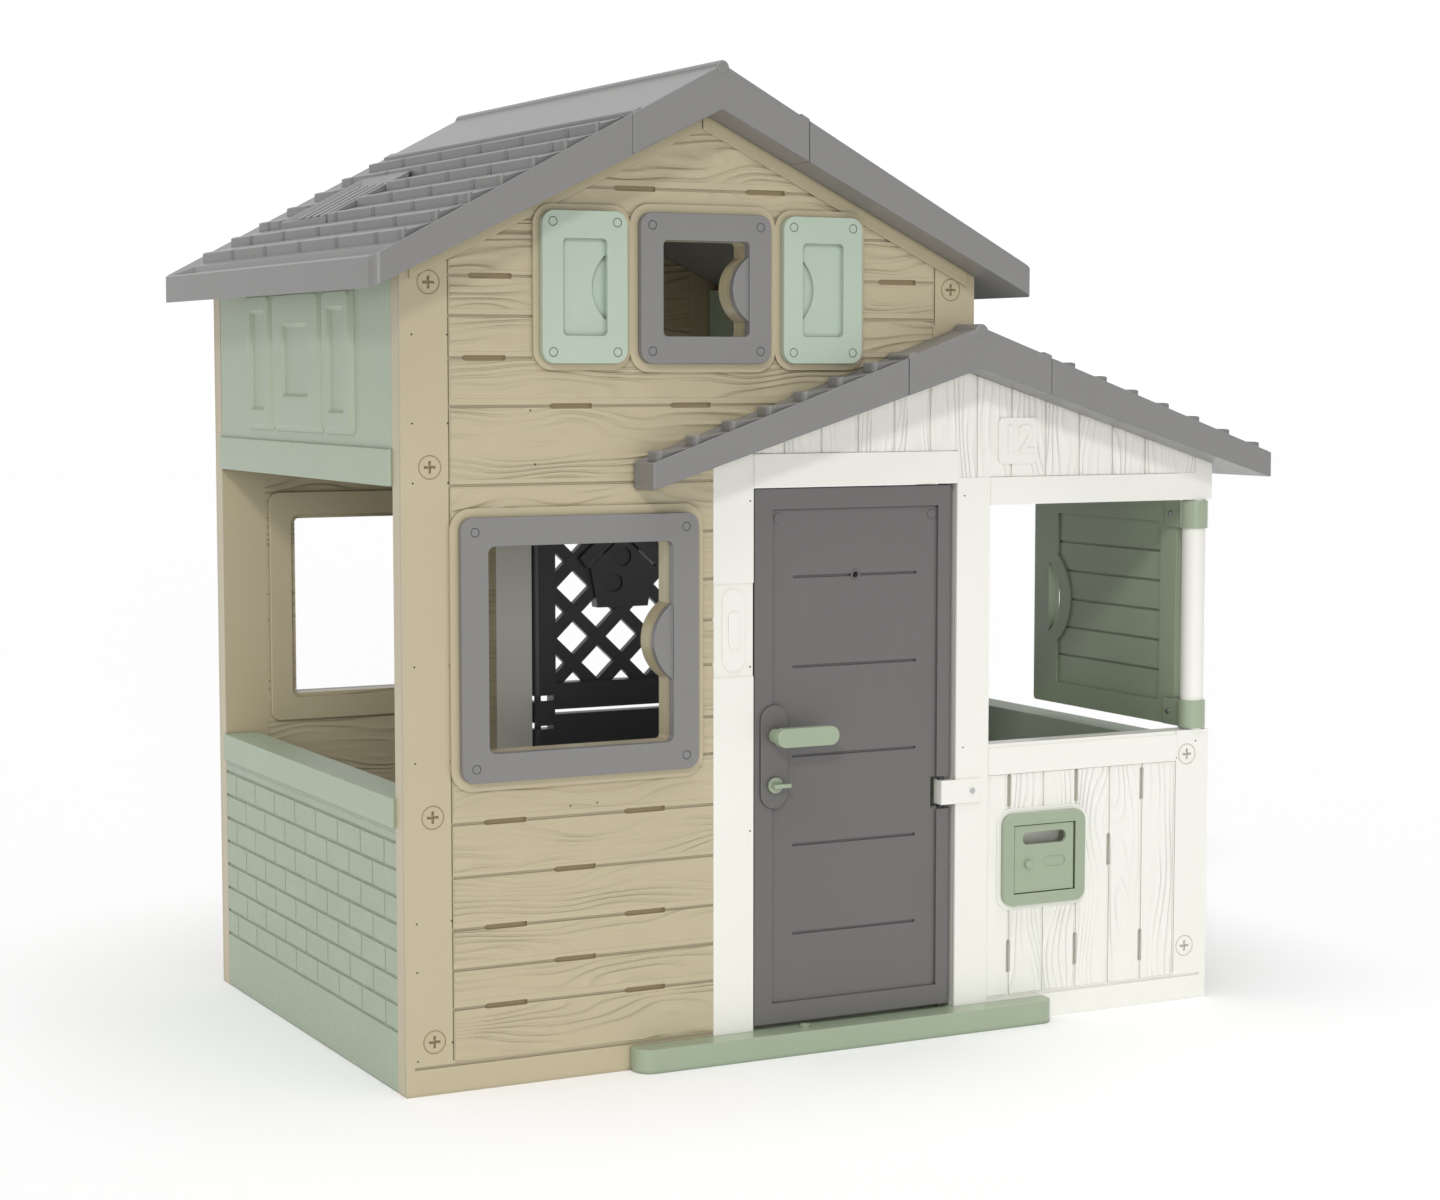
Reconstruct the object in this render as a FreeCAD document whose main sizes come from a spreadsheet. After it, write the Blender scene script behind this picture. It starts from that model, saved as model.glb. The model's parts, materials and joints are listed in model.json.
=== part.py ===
"""Plastic playhouse: a gabled main house with a lower annexe beside it.

All lengths are millimetres.  Inside the sketches x runs along the front from the
west face, y runs back from the front face and z runs up from the ground.  Every
body is then placed so that the document's origin is the middle of the footprint.
"""
import FreeCAD, Part
import math
import os
import Sketcher
from types import SimpleNamespace

V = FreeCAD.Vector

doc = FreeCAD.newDocument("playhouse")

# ---------------------------------------------------------------- driving sizes
SIZES = (
    # name, millimetres, what it is
    ("long", 1640, "west wall face to annexe east face"),
    ("deep", 1010, "front wall face to rear wall face"),
    ("wall", 40, "thickness of the front and rear panels"),
    ("side_wall", 65, "thickness of the low side walls"),
    ("window_wall", 573, "width of the panel with the big window"),
    ("door_wall", 497, "width of the door frame panel"),
    ("past_ridge", 32, "how far the main house passes the annexe ridge"),
    ("post", 79, "width of the post beside the door"),
    ("seam", 1086, "height of the joint between lower and upper panels"),
    ("strip", 70, "width of the flat corner strips"),
    ("strip_inset", 15, "outer edge of the corner strip"),
    ("skirt", 50, "height of the plain band at the ground"),
    ("groove", 5, "width of a board joint"),
    ("groove_deep", 3, "depth of a board joint"),
    ("slot_long", 78, "length of a moulded slot on a board joint"),
    ("slot_wide", 9, "width of a moulded slot"),
    ("slot_deep", 7, "depth of a moulded slot"),
    ("slot_first", 57, "first slot's distance from the corner strip"),
    ("slot_middle", 185, "middle slot's distance from the corner strip"),
    ("slot_last", 317, "last slot's distance from the corner strip"),
    ("corner_round", 8, "corner radius of the openings and recesses"),
    ("slack", 0.3, "gap between faces that slide past each other"),
    ("run_fit", 0.05, "radial clearance of a pin that turns in a bore"),
    # main roof
    ("peak", 1720, "top of the main ridge"),
    ("peak_thick", 77, "height of the fascia at the ridge"),
    ("eave_low", 1337, "underside of the main eaves"),
    ("eave_thick", 50, "height of the fascia at the eaves"),
    ("eave_out", 76, "overhang at the west and east"),
    ("eave_fore", 78, "overhang at the front and rear"),
    ("cap_half", 168, "half width of the main ridge cap"),
    ("course_step", 9, "height of the step between tile courses"),
    # annexe roof
    ("low_peak", 1283, "top of the annexe ridge"),
    ("low_peak_thick", 74, "height of the annexe fascia at its ridge"),
    ("low_eave_low", 1005, "underside of the annexe eaves"),
    ("low_eave_thick", 48, "height of the annexe fascia at its eaves"),
    ("low_eave_out", 80, "overhang of the annexe roof at the east"),
    ("porch_past", 153, "how far the porch roofs pass the door frame at the west"),
    ("low_cap_half", 150, "half width of the annexe ridge cap"),
    # big windows
    ("window_left", 145, "west edge of the big window opening"),
    ("window_wide", 342, "width of the big window opening"),
    ("window_low", 570, "sill height of the big window opening"),
    ("window_tall", 346, "height of the big window opening"),
    ("frame_border", 48, "width of a window frame's border"),
    ("frame_proud", 20, "how far a window frame stands off the wall"),
    ("frame_round", 22, "corner radius of a window frame"),
    ("mould_wide", 15, "width of the raised moulding round a frame"),
    ("mould_proud", 6, "height of the raised moulding"),
    ("lobe_half", 65, "half height of the big window's finger lobe"),
    ("lobe_out", 35, "how far that lobe reaches into the opening"),
    # gable window and shutters
    ("gable_wide", 165, "width of the gable window opening"),
    ("gable_low", 1264, "sill height of the gable window"),
    ("gable_tall", 162, "height of the gable window opening"),
    ("gable_border", 42, "border of the gable window frame"),
    ("gable_rail", 46, "top and bottom border of the gable pieces"),
    ("gable_lobe_half", 54, "half height of the gable window's lobe"),
    ("gable_lobe_out", 30, "how far that lobe reaches into the opening"),
    ("leaf_near", 150, "gable shutter's inner edge from the centre line"),
    ("leaf_wide", 156, "width of a gable shutter"),
    ("leaf_rim", 11, "width of the raised moulding round a gable shutter"),
    ("leaf_recess", 81, "width of a gable shutter's recess"),
    ("leaf_sink", 8, "depth of a gable shutter's recess"),
    ("peg", 7.5, "radius of the pins that hold frames and shutters"),
    ("peg_bite", 18, "how far those pins enter the wall"),
    # door opening and door
    ("lintel", 1003, "underside of the door lintel"),
    ("band", 58, "height of the flat band over the doorway"),
    ("door_gap", 3, "gap round the door"),
    ("door_thick", 35, "thickness of the doors"),
    ("door_low", 50, "underside of the doors"),
    ("door_stile", 36, "width of the door's raised edge"),
    ("door_sink", 5, "depth of the door's recessed panel"),
    ("pin", 7, "radius of the door's pivot pins"),
    ("pin_bite", 28, "length of a pivot pin in each part"),
    ("notch_tall", 60, "height of the door's hinge notch"),
    ("notch_wide", 29, "reach of the hinge notch beyond the pivot axis"),
    ("notch_mid", 440, "middle height of the front door's hinge notch"),
    ("clip_tall", 44, "height of a hinge clip"),
    ("clip_wall", 5, "wall of a hinge clip's ring"),
    ("clip_reach", 72, "length of a hinge clip's strap from the axis"),
    ("clip_strap", 4, "thickness of a hinge clip's strap"),
    ("split", 500, "height of the gap between the two rear half doors"),
    ("split_gap", 10, "gap between the two rear half doors"),
    ("line_gap", 159, "spacing of the grooves across the front door"),
    ("line_low", 208, "height of the lowest groove"),
    ("line_long", 254, "length of a groove"),
    ("peephole", 6, "radius of the peephole"),
    ("lattice_west", 34, "lattice opening's distance from the rear pivot axis"),
    ("lattice_east", 50, "lattice opening's distance from the free edge"),
    ("lattice_foot", 55, "lattice opening's distance from the half door's foot"),
    ("lattice_head", 45, "lattice opening's distance from the half door's top"),
    ("bar_wide", 26, "width of a lattice bar"),
    ("bar_thick", 16, "thickness of a lattice bar"),
    ("bar_pitch", 76.6, "spacing of the lattice bars"),
    ("bar_grow", 6, "how far the lattice bars enter the door's border"),
    ("house_in", 155, "birdhouse's middle from the lattice opening's edge"),
    ("house_front", 28, "depth of the birdhouse"),
    ("house_foot", 58, "half the birdhouse's width at its foot"),
    ("house_half", 73, "half the birdhouse's width at its eaves"),
    ("house_drop", 242, "birdhouse's foot below the lattice opening's top"),
    ("house_eave", 159, "birdhouse's eaves below the lattice opening's top"),
    ("house_peak", 93, "birdhouse's gable below the lattice opening's top"),
    ("house_slab", 32, "depth of the birdhouse's roof"),
    ("house_over", 99, "half the width of the birdhouse's roof"),
    ("house_ridge", 52, "birdhouse's roof ridge below the lattice opening's top"),
    ("house_tip", 137, "top of the birdhouse's roof ends below the lattice opening's top"),
    ("house_hole", 20, "radius of the birdhouse's entrance"),
    ("house_sink", 5, "depth of the birdhouse's entrance and arch"),
    # door furniture
    ("plate_wide", 54, "width of the handle plate"),
    ("plate_tall", 183, "height of the handle plate"),
    ("plate_mid", 528, "middle height of the handle plate"),
    ("plate_thick", 9, "thickness of the handle plate"),
    ("plate_edge", 11, "plate's distance from the door's free edge"),
    ("lever_high", 566, "height of the lever's axis"),
    ("lever_neck", 13, "radius of the lever's neck"),
    ("lever_reach", 106, "lever's tip from its axis"),
    ("lever_wide", 34, "height of the lever"),
    ("lever_thick", 20, "thickness of the lever"),
    ("lever_gap", 26, "finger gap behind the lever"),
    ("spindle", 6, "radius of the lever's and the key's spindles"),
    ("spindle_bite", 12, "length of a spindle inside the door"),
    ("key_high", 478, "height of the key's axis"),
    ("key_disc", 14, "radius of the key's disc"),
    ("key_thick", 6, "thickness of the key's disc"),
    ("key_out", 14, "how far the key's fin stands off its disc"),
    ("key_fin", 7, "thickness of the key's fin"),
    ("key_back", 10, "fin's end beyond the axis, towards the door's edge"),
    ("key_fore", 24, "fin's end beyond the axis, towards the door's middle"),
    # bell plate on the post, house number plate on the annexe
    ("bell_low", 683, "bottom of the bell plate"),
    ("bell_tall", 144, "height of the bell plate"),
    ("bell_wide", 44, "width of the bell plate"),
    ("bell_margin", 10, "recess of the post above and below the bell plate"),
    ("button_tall", 66, "height of the bell button's outline"),
    ("button_wide", 22, "width of the bell button's outline"),
    ("number_in", 86, "number plate's distance from the doorway"),
    ("number_low", 1036, "bottom of the number plate"),
    ("number_wide", 84, "width and height of the number plate"),
    # threshold
    ("step_west", 241, "how far a threshold passes the doorway at the west"),
    ("step_east", 195, "how far a threshold passes the doorway at the east"),
    ("stop_tall", 5, "height of the door stop on a threshold"),
    ("stop_radius", 9, "radius of the door stop"),
    ("stop_from_pivot", 300, "door stop's distance from the door's pivot"),
    ("step_out", 45, "how far the threshold reaches in front of the wall"),
    ("step_tall", 42, "height of the threshold"),
    ("step_round", 30, "corner radius of the threshold"),
    # annexe
    ("sill", 522, "top of the annexe's lower wall at the window"),
    ("head", 962, "underside of the annexe window's lintel"),
    ("stile", 70, "width of the annexe panel's door-side stile"),
    ("tube", 22, "radius of the corner tube"),
    ("tube_in", 26, "tube axis from the annexe's east face"),
    ("tube_peg", 10, "radius of the pegs at the tube's ends"),
    ("tube_bite", 20, "length of those pegs"),
    ("plank", 74.5, "spacing of the vertical planks"),
    ("rail_band", 50, "height of the raised bands above and below the window"),
    ("rail_proud", 3, "how far raised bands and strips stand proud"),
    ("collar_wall", 4, "wall of the shutter's collars"),
    ("collar_tall", 52, "height of a shutter collar"),
    ("tab_long", 30, "reach of a collar's tab over the shutter"),
    ("tab_screw", 14, "collar screw's distance from the shutter's hinge edge"),
    ("shutter_near", 38, "shutter's hinge edge from the tube axis"),
    ("shutter_wide", 482, "width of the side shutter"),
    ("shutter_thick", 26, "thickness of the side shutter"),
    ("shutter_play", 3, "gap above and below the side shutter"),
    ("shutter_border", 62, "border round the shutter's louvred panel"),
    ("shutter_sink", 5, "depth of the louvred panel"),
    ("grip_half", 72, "half height of the shutter's finger opening"),
    ("grip_wide", 26, "width of the shutter's finger opening"),
    # letterbox
    ("box_in", 98, "letterbox frame's distance from the doorway"),
    ("box_low", 219, "bottom of the letterbox frame"),
    ("box_wide", 180, "width of the letterbox frame"),
    ("box_tall", 172, "height of the letterbox frame"),
    ("box_border", 22, "border of the letterbox frame"),
    ("box_rim", 9, "width of the raised moulding round the letterbox"),
    ("box_proud", 14, "how far the letterbox frame stands off the wall"),
    ("box_deep", 30, "depth of the pocket behind the letterbox door"),
    ("flap_thick", 8, "thickness of the letterbox door"),
    ("flap_pin", 2.5, "radius of the letterbox door's hinge pins"),
    ("flap_bite", 8, "length of a letterbox hinge pin in each part"),
    ("letter_wide", 96, "width of the letter slot"),
    ("letter_tall", 23, "height of the letter slot"),
    ("letter_down", 13, "letter slot's distance from the door's top"),
    ("name_tall", 20, "height of the name plate's recess"),
    ("name_down", 60, "name plate's distance from the door's top"),
    ("name_sink", 1.5, "depth of the name plate's recess"),
    ("knob", 7.5, "radius of the letterbox knob"),
    ("knob_out", 5, "how far the knob stands off the door"),
    ("knob_in", 30, "knob's distance from the door's free edge"),
    ("knob_down", 72, "knob's distance from the door's top"),
    # side walls
    ("low_wall", 498, "top of the low side walls"),
    ("cap_band", 50, "height of the smooth band on a low wall"),
    ("brick", 45.7, "height of a brick course"),
    ("brick_long", 116, "length of a brick"),
    ("fascia_low", 1016, "underside of the upper side panels"),
    ("ledge", 51, "height of the ledge on the upper side panels"),
    ("relief_wide", 190, "width of a raised relief on a side panel"),
    ("relief_gap", 24, "gap between two raised reliefs"),
    ("relief_rim", 34, "border of a raised relief round its recess"),
    ("relief_round", 14, "corner radius of a raised relief"),
    ("relief_up", 18, "relief's distance above the ledge"),
    ("relief_down", 46, "relief's distance below the panel's top"),
    # screws
    ("screw_in", 50, "corner screw's axis from the wall's end"),
    ("screw_head", 19, "radius of a plastic screw's head"),
    ("screw_sink", 5, "depth of the screw's counterbore"),
    ("screw_shank", 8, "radius of a plastic screw's shank"),
    ("screw_bite", 28, "length of a plastic screw's shank"),
    ("cross_long", 20, "length of a cross slot"),
    ("cross_wide", 4, "width of a cross slot"),
    ("cross_deep", 2.5, "depth of a cross slot"),
    ("steel_head", 5, "radius of a small steel screw's head"),
    ("steel_tall", 2.5, "height of a small steel screw's head"),
    ("steel_bite", 10, "length of a small steel screw's shank"),
    ("steel_shank", 2, "radius of a small steel screw's shank"),
)
# slope of the lattice bars, degrees
LATTICE_TILT = 43.4
# heights of the board joints, ground to ridge
LOWER_BOARDS = (141, 207, 275, 363, 453, 542, 607, 698, 776, 847, 930, 1017)
UPPER_BOARDS = (1147, 1227, 1296, 1362, 1435, 1512)
# heights of the corner screws on the tan and on the white panels
LOWER_SCREWS = (90, 468, 1048)
UPPER_SCREW = 1350
ANNEXE_SCREWS = (105, 476)


class Size:
    """A length known both as a number and as a spreadsheet expression."""

    def __init__(self, value, text=None):
        self.value = float(value)
        self.text = text or repr(float(value))

    def __add__(self, other):
        other = as_size(other)
        return Size(self.value + other.value, "(%s + %s)" % (self.text, other.text))

    def __radd__(self, other):
        return as_size(other) + self

    def __sub__(self, other):
        other = as_size(other)
        return Size(self.value - other.value, "(%s - %s)" % (self.text, other.text))

    def __rsub__(self, other):
        return as_size(other) - self

    def __mul__(self, other):
        other = as_size(other)
        return Size(self.value * other.value, "(%s * %s)" % (self.text, other.text))

    def __rmul__(self, other):
        return as_size(other) * self

    def __truediv__(self, other):
        other = as_size(other)
        return Size(self.value / other.value, "(%s / %s)" % (self.text, other.text))

    def __neg__(self):
        return self * -1


def as_size(number):
    return number if isinstance(number, Size) else Size(number)


sheet = doc.addObject("Spreadsheet::Sheet", "Dims")
row = 0


def store(name, value, note):
    """Write one named size into the sheet and hand it back as a Size."""
    global row
    row += 1
    sheet.set("A%d" % row, name)
    sheet.set("B%d" % row, str(value))
    sheet.set("C%d" % row, note)
    sheet.setAlias("B%d" % row, name)
    return Size(value, "Dims." + name)


s = SimpleNamespace(**{name: store(name, value, note) for name, value, note in SIZES})


def store_row(stem, values, note):
    return [store("%s_%d" % (stem, i + 1), value, note) for i, value in enumerate(values)]


lower_boards = store_row("lower_board", LOWER_BOARDS, "height of a board joint")
upper_boards = store_row("upper_board", UPPER_BOARDS, "height of a board joint")
lower_screws = store_row("lower_screw", LOWER_SCREWS, "height of a tan corner screw")
upper_screw = store("upper_screw", UPPER_SCREW, "height of the top corner screw")
annexe_screws = store_row("annexe_screw", ANNEXE_SCREWS, "height of a white corner screw")
doc.recompute()

# ---------------------------------------------------------------- derived places
SHIFT_X = -(s.long + s.low_eave_out - s.eave_out) / 2
SHIFT_Y = -s.deep / 2

house = s.window_wall + s.door_wall + s.past_ridge
mid = house / 2
door_left = s.window_wall + s.post
door_right = s.window_wall + s.door_wall
ridge_x = door_right
main_run = mid + s.eave_out
annexe_run = s.long - ridge_x + s.low_eave_out
porch_run = s.door_wall + s.porch_past
pivot_y = s.wall / 2
door_in = (s.wall - s.door_thick) / 2
front_pivot_x = door_right - s.door_gap - s.door_thick / 2
rear_pivot_x = door_left + s.door_gap + s.door_thick / 2
door_top = s.lintel - s.door_gap
tube_x = s.long - s.tube_in
box_left = door_right + s.box_in
frame_left = s.window_left - s.frame_border
frame_right = s.window_left + s.window_wide + s.frame_border
frame_low = s.window_low - s.frame_border
frame_high = s.window_low + s.window_tall + s.frame_border


def main_under(run):
    """Height of the main roof's underside at a distance from the ridge."""
    top = s.peak - s.peak_thick
    return top - run * ((top - s.eave_low) / main_run)


def main_over(run):
    """Height of the main roof's top at a distance from the ridge."""
    return s.peak - run * ((s.peak - s.eave_low - s.eave_thick) / main_run)


def low_under(run, full_run):
    """Height of the annexe roof's underside on a slope with that full run."""
    top = s.low_peak - s.low_peak_thick
    return top - run * ((top - s.low_eave_low) / full_run)


def low_over(run, full_run):
    fall = s.low_peak - s.low_eave_low - s.low_eave_thick
    return s.low_peak - run * (fall / full_run)


def annexe_under(run):
    return low_under(run, annexe_run)


def annexe_over(run):
    return low_over(run, annexe_run)


def porch_under(run):
    return low_under(run, porch_run)


def porch_over(run):
    return low_over(run, porch_run)


def run_at_seam():
    """Distance from the annexe ridge where its underside meets the panel seam."""
    top = s.low_peak - s.low_peak_thick
    return (top - s.seam) / ((top - s.low_eave_low) / porch_run)


# ---------------------------------------------------------------- sketch outlines
def bind(sketch, constraints):
    """Add constraints given as (constraint, Size or None) and tie them to the sheet."""
    first = sketch.ConstraintCount
    sketch.addConstraint([constraint for constraint, size in constraints])
    for i, (constraint, size) in enumerate(constraints):
        if size is not None:
            sketch.setExpression("Constraints[%d]" % (first + i), size.text)


def at_point(geo, pos, u, w):
    """The two distances that hold a point of the sketch at (u, w)."""
    u, w = as_size(u), as_size(w)
    return [
        (Sketcher.Constraint("DistanceX", -1, 1, geo, pos, u.value), u),
        (Sketcher.Constraint("DistanceY", -1, 1, geo, pos, w.value), w),
    ]


def polygon(*corners):
    corners = [(as_size(u), as_size(w)) for u, w in corners]

    def draw(sketch):
        first = sketch.GeometryCount
        points = [V(u.value, w.value, 0) for u, w in corners]
        count = len(points)
        for i in range(count):
            sketch.addGeometry(Part.LineSegment(points[i], points[(i + 1) % count]), False)
        held = []
        for i in range(count):
            after = first + (i + 1) % count
            held.append((Sketcher.Constraint("Coincident", first + i, 2, after, 1), None))
        for i, (u, w) in enumerate(corners):
            held += at_point(first + i, 1, u, w)
        bind(sketch, held)

    return draw


def rectangle(u0, w0, u1, w1):
    return polygon((u0, w0), (u1, w0), (u1, w1), (u0, w1))


def rounded(u0, w0, u1, w1, radius):
    """A rectangle with equal round corners."""
    u0, w0, u1, w1, radius = [as_size(n) for n in (u0, w0, u1, w1, radius)]

    def draw(sketch):
        first = sketch.GeometryCount
        a, b, c, d, r = u0.value, w0.value, u1.value, w1.value, radius.value
        lines = (
            (V(a + r, b, 0), V(c - r, b, 0)),
            (V(c, b + r, 0), V(c, d - r, 0)),
            (V(c - r, d, 0), V(a + r, d, 0)),
            (V(a, d - r, 0), V(a, b + r, 0)),
        )
        centres = (V(c - r, b + r, 0), V(c - r, d - r, 0), V(a + r, d - r, 0), V(a + r, b + r, 0))
        for i in range(4):
            sketch.addGeometry(Part.LineSegment(*lines[i]), False)
            start = (i - 1) * math.pi / 2
            ring = Part.Circle(centres[i], V(0, 0, 1), r)
            sketch.addGeometry(Part.ArcOfCircle(ring, start, start + math.pi / 2), False)
        held = []
        for i in range(4):
            line, arc = first + 2 * i, first + 2 * i + 1
            after = first + (2 * i + 2) % 8
            held.append((Sketcher.Constraint("Tangent", line, 2, arc, 1), None))
            held.append((Sketcher.Constraint("Tangent", arc, 2, after, 1), None))
            kind = "Vertical" if i % 2 else "Horizontal"
            held.append((Sketcher.Constraint(kind, line), None))
            if i:
                held.append((Sketcher.Constraint("Equal", first + 1, arc), None))
        held.append((Sketcher.Constraint("Radius", first + 1, r), radius))
        held.append((Sketcher.Constraint("DistanceY", -1, 1, first, 1, b), w0))
        held.append((Sketcher.Constraint("DistanceX", -1, 1, first + 2, 1, c), u1))
        held.append((Sketcher.Constraint("DistanceY", -1, 1, first + 4, 1, d), w1))
        held.append((Sketcher.Constraint("DistanceX", -1, 1, first + 6, 1, a), u0))
        bind(sketch, held)

    return draw


def pill(u0, w0, u1, w1):
    """A slot shape: its short sides are almost half circles."""
    u0, w0, u1, w1 = [as_size(n) for n in (u0, w0, u1, w1)]
    wide = abs(u1.value - u0.value) > abs(w1.value - w0.value)
    radius = (w1 - w0) * 0.49 if wide else (u1 - u0) * 0.49
    return rounded(u0, w0, u1, w1, radius)


def disc(u, w, radius):
    u, w, radius = as_size(u), as_size(w), as_size(radius)

    def draw(sketch):
        centre = V(u.value, w.value, 0)
        geo = sketch.addGeometry(Part.Circle(centre, V(0, 0, 1), radius.value), False)
        held = at_point(geo, 3, u, w)
        held.append((Sketcher.Constraint("Radius", geo, radius.value), radius))
        bind(sketch, held)

    return draw


def crescent(u, w, half, bulge):
    """A segment of a circle on an upright chord at u; a negative bulge points to -u."""
    u, w, half, bulge = [as_size(n) for n in (u, w, half, bulge)]
    side = 1 if bulge.value > 0 else -1
    reach = bulge * side
    radius = (half * half + reach * reach) / (reach * 2)

    def draw(sketch):
        low = V(u.value, w.value - half.value, 0)
        high = V(u.value, w.value + half.value, 0)
        centre = V(u.value + side * (reach.value - radius.value), w.value, 0)
        angle = math.asin(half.value / radius.value)
        if reach.value > half.value:
            angle = math.pi - angle
        facing = 0 if side > 0 else math.pi
        ring = Part.Circle(centre, V(0, 0, 1), radius.value)
        line = sketch.addGeometry(Part.LineSegment(low, high), False)
        arc = sketch.addGeometry(Part.ArcOfCircle(ring, facing - angle, facing + angle), False)
        arc_low, arc_high = (1, 2) if side > 0 else (2, 1)
        held = [
            (Sketcher.Constraint("Coincident", line, 1, arc, arc_low), None),
            (Sketcher.Constraint("Coincident", line, 2, arc, arc_high), None),
        ]
        held += at_point(line, 1, u, w - half)
        held += at_point(line, 2, u, w + half)
        held.append((Sketcher.Constraint("Radius", arc, radius.value), radius))
        bind(sketch, held)

    return draw


# ---------------------------------------------------------------- solid features
# view: origin plane, and whether its normal points along the row's axis
VIEWS = {"front": ("XZ_Plane", -1), "side": ("YZ_Plane", 1), "top": ("XY_Plane", 1)}


def new_body(label):
    body = doc.addObject("PartDesign::Body", label)
    body.Label = label
    body.AllowCompound = True
    body.setExpression("Placement.Base.x", SHIFT_X.text)
    body.setExpression("Placement.Base.y", SHIFT_Y.text)
    return body


def outline(body, view, start, loops):
    """A sketch across one axis, at a distance along it."""
    role, sign = VIEWS[view]
    plane = [item for item in body.Origin.OriginFeatures if item.Role == role][0]
    sketch = body.newObject("Sketcher::SketchObject", body.Label + "_outline")
    sketch.AttachmentSupport = (plane, [""])
    sketch.MapMode = "FlatFace"
    offset = as_size(start) * sign
    sketch.AttachmentOffset = FreeCAD.Placement(V(0, 0, offset.value), FreeCAD.Rotation())
    sketch.setExpression("AttachmentOffset.Base.z", offset.text)
    for loop in loops:
        loop(sketch)
    return sketch


def add(body, view, start, length, *loops):
    """Pad outlines from start along the axis."""
    length = as_size(length)
    sketch = outline(body, view, start, loops)
    pad = body.newObject("PartDesign::Pad", body.Label + "_pad")
    pad.Profile = sketch
    pad.Length = length.value
    pad.setExpression("Length", length.text)
    pad.Reversed = VIEWS[view][1] < 0
    return pad


def cut(body, view, start, length, *loops):
    """Pocket outlines from start along the axis."""
    length = as_size(length)
    sketch = outline(body, view, start, loops)
    pocket = body.newObject("PartDesign::Pocket", body.Label + "_pocket")
    pocket.Profile = sketch
    pocket.Length = length.value
    pocket.setExpression("Length", length.text)
    pocket.Reversed = VIEWS[view][1] > 0
    return pocket


def from_face(side, depth, thick):
    """Where a slice starts that lies depth behind the outer face of a wall."""
    if side == "front":
        return as_size(depth)
    return s.deep - depth - thick


def add_wall(body, side, depth, thick, *loops):
    return add(body, "front", from_face(side, depth, thick), thick, *loops)


def cut_wall(body, side, depth, thick, *loops):
    return cut(body, "front", from_face(side, depth, thick), thick, *loops)


# ---------------------------------------------------------------- shared details
def joint_line(x0, x1, height):
    """A board joint: a narrow groove centred on a height."""
    return rectangle(x0, height - s.groove / 2, x1, height + s.groove / 2)


def plank_line(x, z0, z1):
    return rectangle(x - s.groove / 2, z0, x + s.groove / 2, z1)


def long_slot(x, height):
    half = s.slot_wide / 2
    return pill(x, height - half, x + s.slot_long, height + half)


def tall_slot(x, low):
    half = s.slot_wide / 2
    return pill(x - half, low, x + half, low + s.slot_long * 0.8)


def screw_holes(body, side, places):
    """Counterbores and blind bores for plastic screws."""
    cut_wall(body, side, 0, s.screw_sink,
             *[disc(x, z, s.screw_head + s.slack) for x, z in places])
    cut_wall(body, side, s.screw_sink, s.screw_bite,
             *[disc(x, z, s.screw_shank + s.slack) for x, z in places])


def window_moulding(body, side, left, low, right, high):
    """The raised rim that a frame or shutter sits inside."""
    rim = s.mould_wide
    add_wall(body, side, -s.mould_proud, s.mould_proud,
             rounded(left - rim, low - rim, right + rim, high + rim, s.frame_round + rim),
             rounded(left, low, right, high, s.frame_round))


def peg_places(left, low, right, high, border):
    """The four corners where pins go through a frame."""
    inset = border / 2
    return [(x, z) for x in (left + inset, right - inset) for z in (low + inset, high - inset)]


def big_pegs():
    return peg_places(frame_left, frame_low, frame_right, frame_high, s.frame_border)


gable_left = mid - s.gable_wide / 2 - s.gable_border
gable_right = mid + s.gable_wide / 2 + s.gable_border
gable_base = s.gable_low - s.gable_rail
gable_top = s.gable_low + s.gable_tall + s.gable_rail


def gable_pegs():
    return peg_places(gable_left, gable_base, gable_right, gable_top, s.gable_border)


def leaf_edges(way):
    """West and east edges of a gable shutter; way is -1 west or 1 east."""
    near, far = mid + s.leaf_near * way, mid + (s.leaf_near + s.leaf_wide) * way
    return (far, near) if way < 0 else (near, far)


def leaf_pegs():
    places = []
    for way in (-1, 1):
        left, right = leaf_edges(way)
        places += peg_places(left, gable_base, right, gable_top, s.gable_border * 0.9)
    return places


# ---------------------------------------------------------------- wall panels
def lower_panel(label, side):
    """Tan panel with the big window."""
    body = new_body(label)
    opening = rounded(s.window_left, s.window_low, s.window_left + s.window_wide,
                      s.window_low + s.window_tall, s.corner_round)
    add_wall(body, side, 0, s.wall, rectangle(0, 0, s.window_wall, s.seam), opening)
    lobe_x = s.window_left + s.window_wide
    lobe_z = s.window_low + s.window_tall / 2
    add_wall(body, side, 0, s.wall, crescent(lobe_x, lobe_z, s.lobe_half, -s.lobe_out))
    window_moulding(body, side, frame_left, frame_low, frame_right, frame_high)
    cut_wall(body, side, 0, s.peg_bite, *[disc(x, z, s.peg + 0.1) for x, z in big_pegs()])
    board_start = s.strip_inset + s.strip
    lines = []
    for height in lower_boards:
        beside = frame_low.value - 20 < height.value < frame_high.value + 20
        start = frame_right + s.mould_wide if beside else board_start
        lines.append(joint_line(start, s.window_wall, height))
    cut_wall(body, side, 0, s.groove_deep, *lines)
    cut_wall(body, side, 0, s.groove_deep,
             rectangle(s.strip_inset, s.skirt - s.groove, s.window_wall, s.skirt),
             rectangle(s.strip_inset + s.strip - s.groove / 2, s.skirt + s.groove,
                       s.strip_inset + s.strip, s.seam))
    firsts = (board_start + s.slot_first, board_start + s.slot_middle, board_start + s.slot_last)
    slots = []
    for i, height in enumerate(lower_boards[:5]):
        slots += [long_slot(firsts[k], height) for k in ((0, 2), (1,))[i % 2]]
    cut_wall(body, side, 0, s.slot_deep, *slots)
    screw_holes(body, side, [(s.screw_in, z) for z in lower_screws])
    return body


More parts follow.
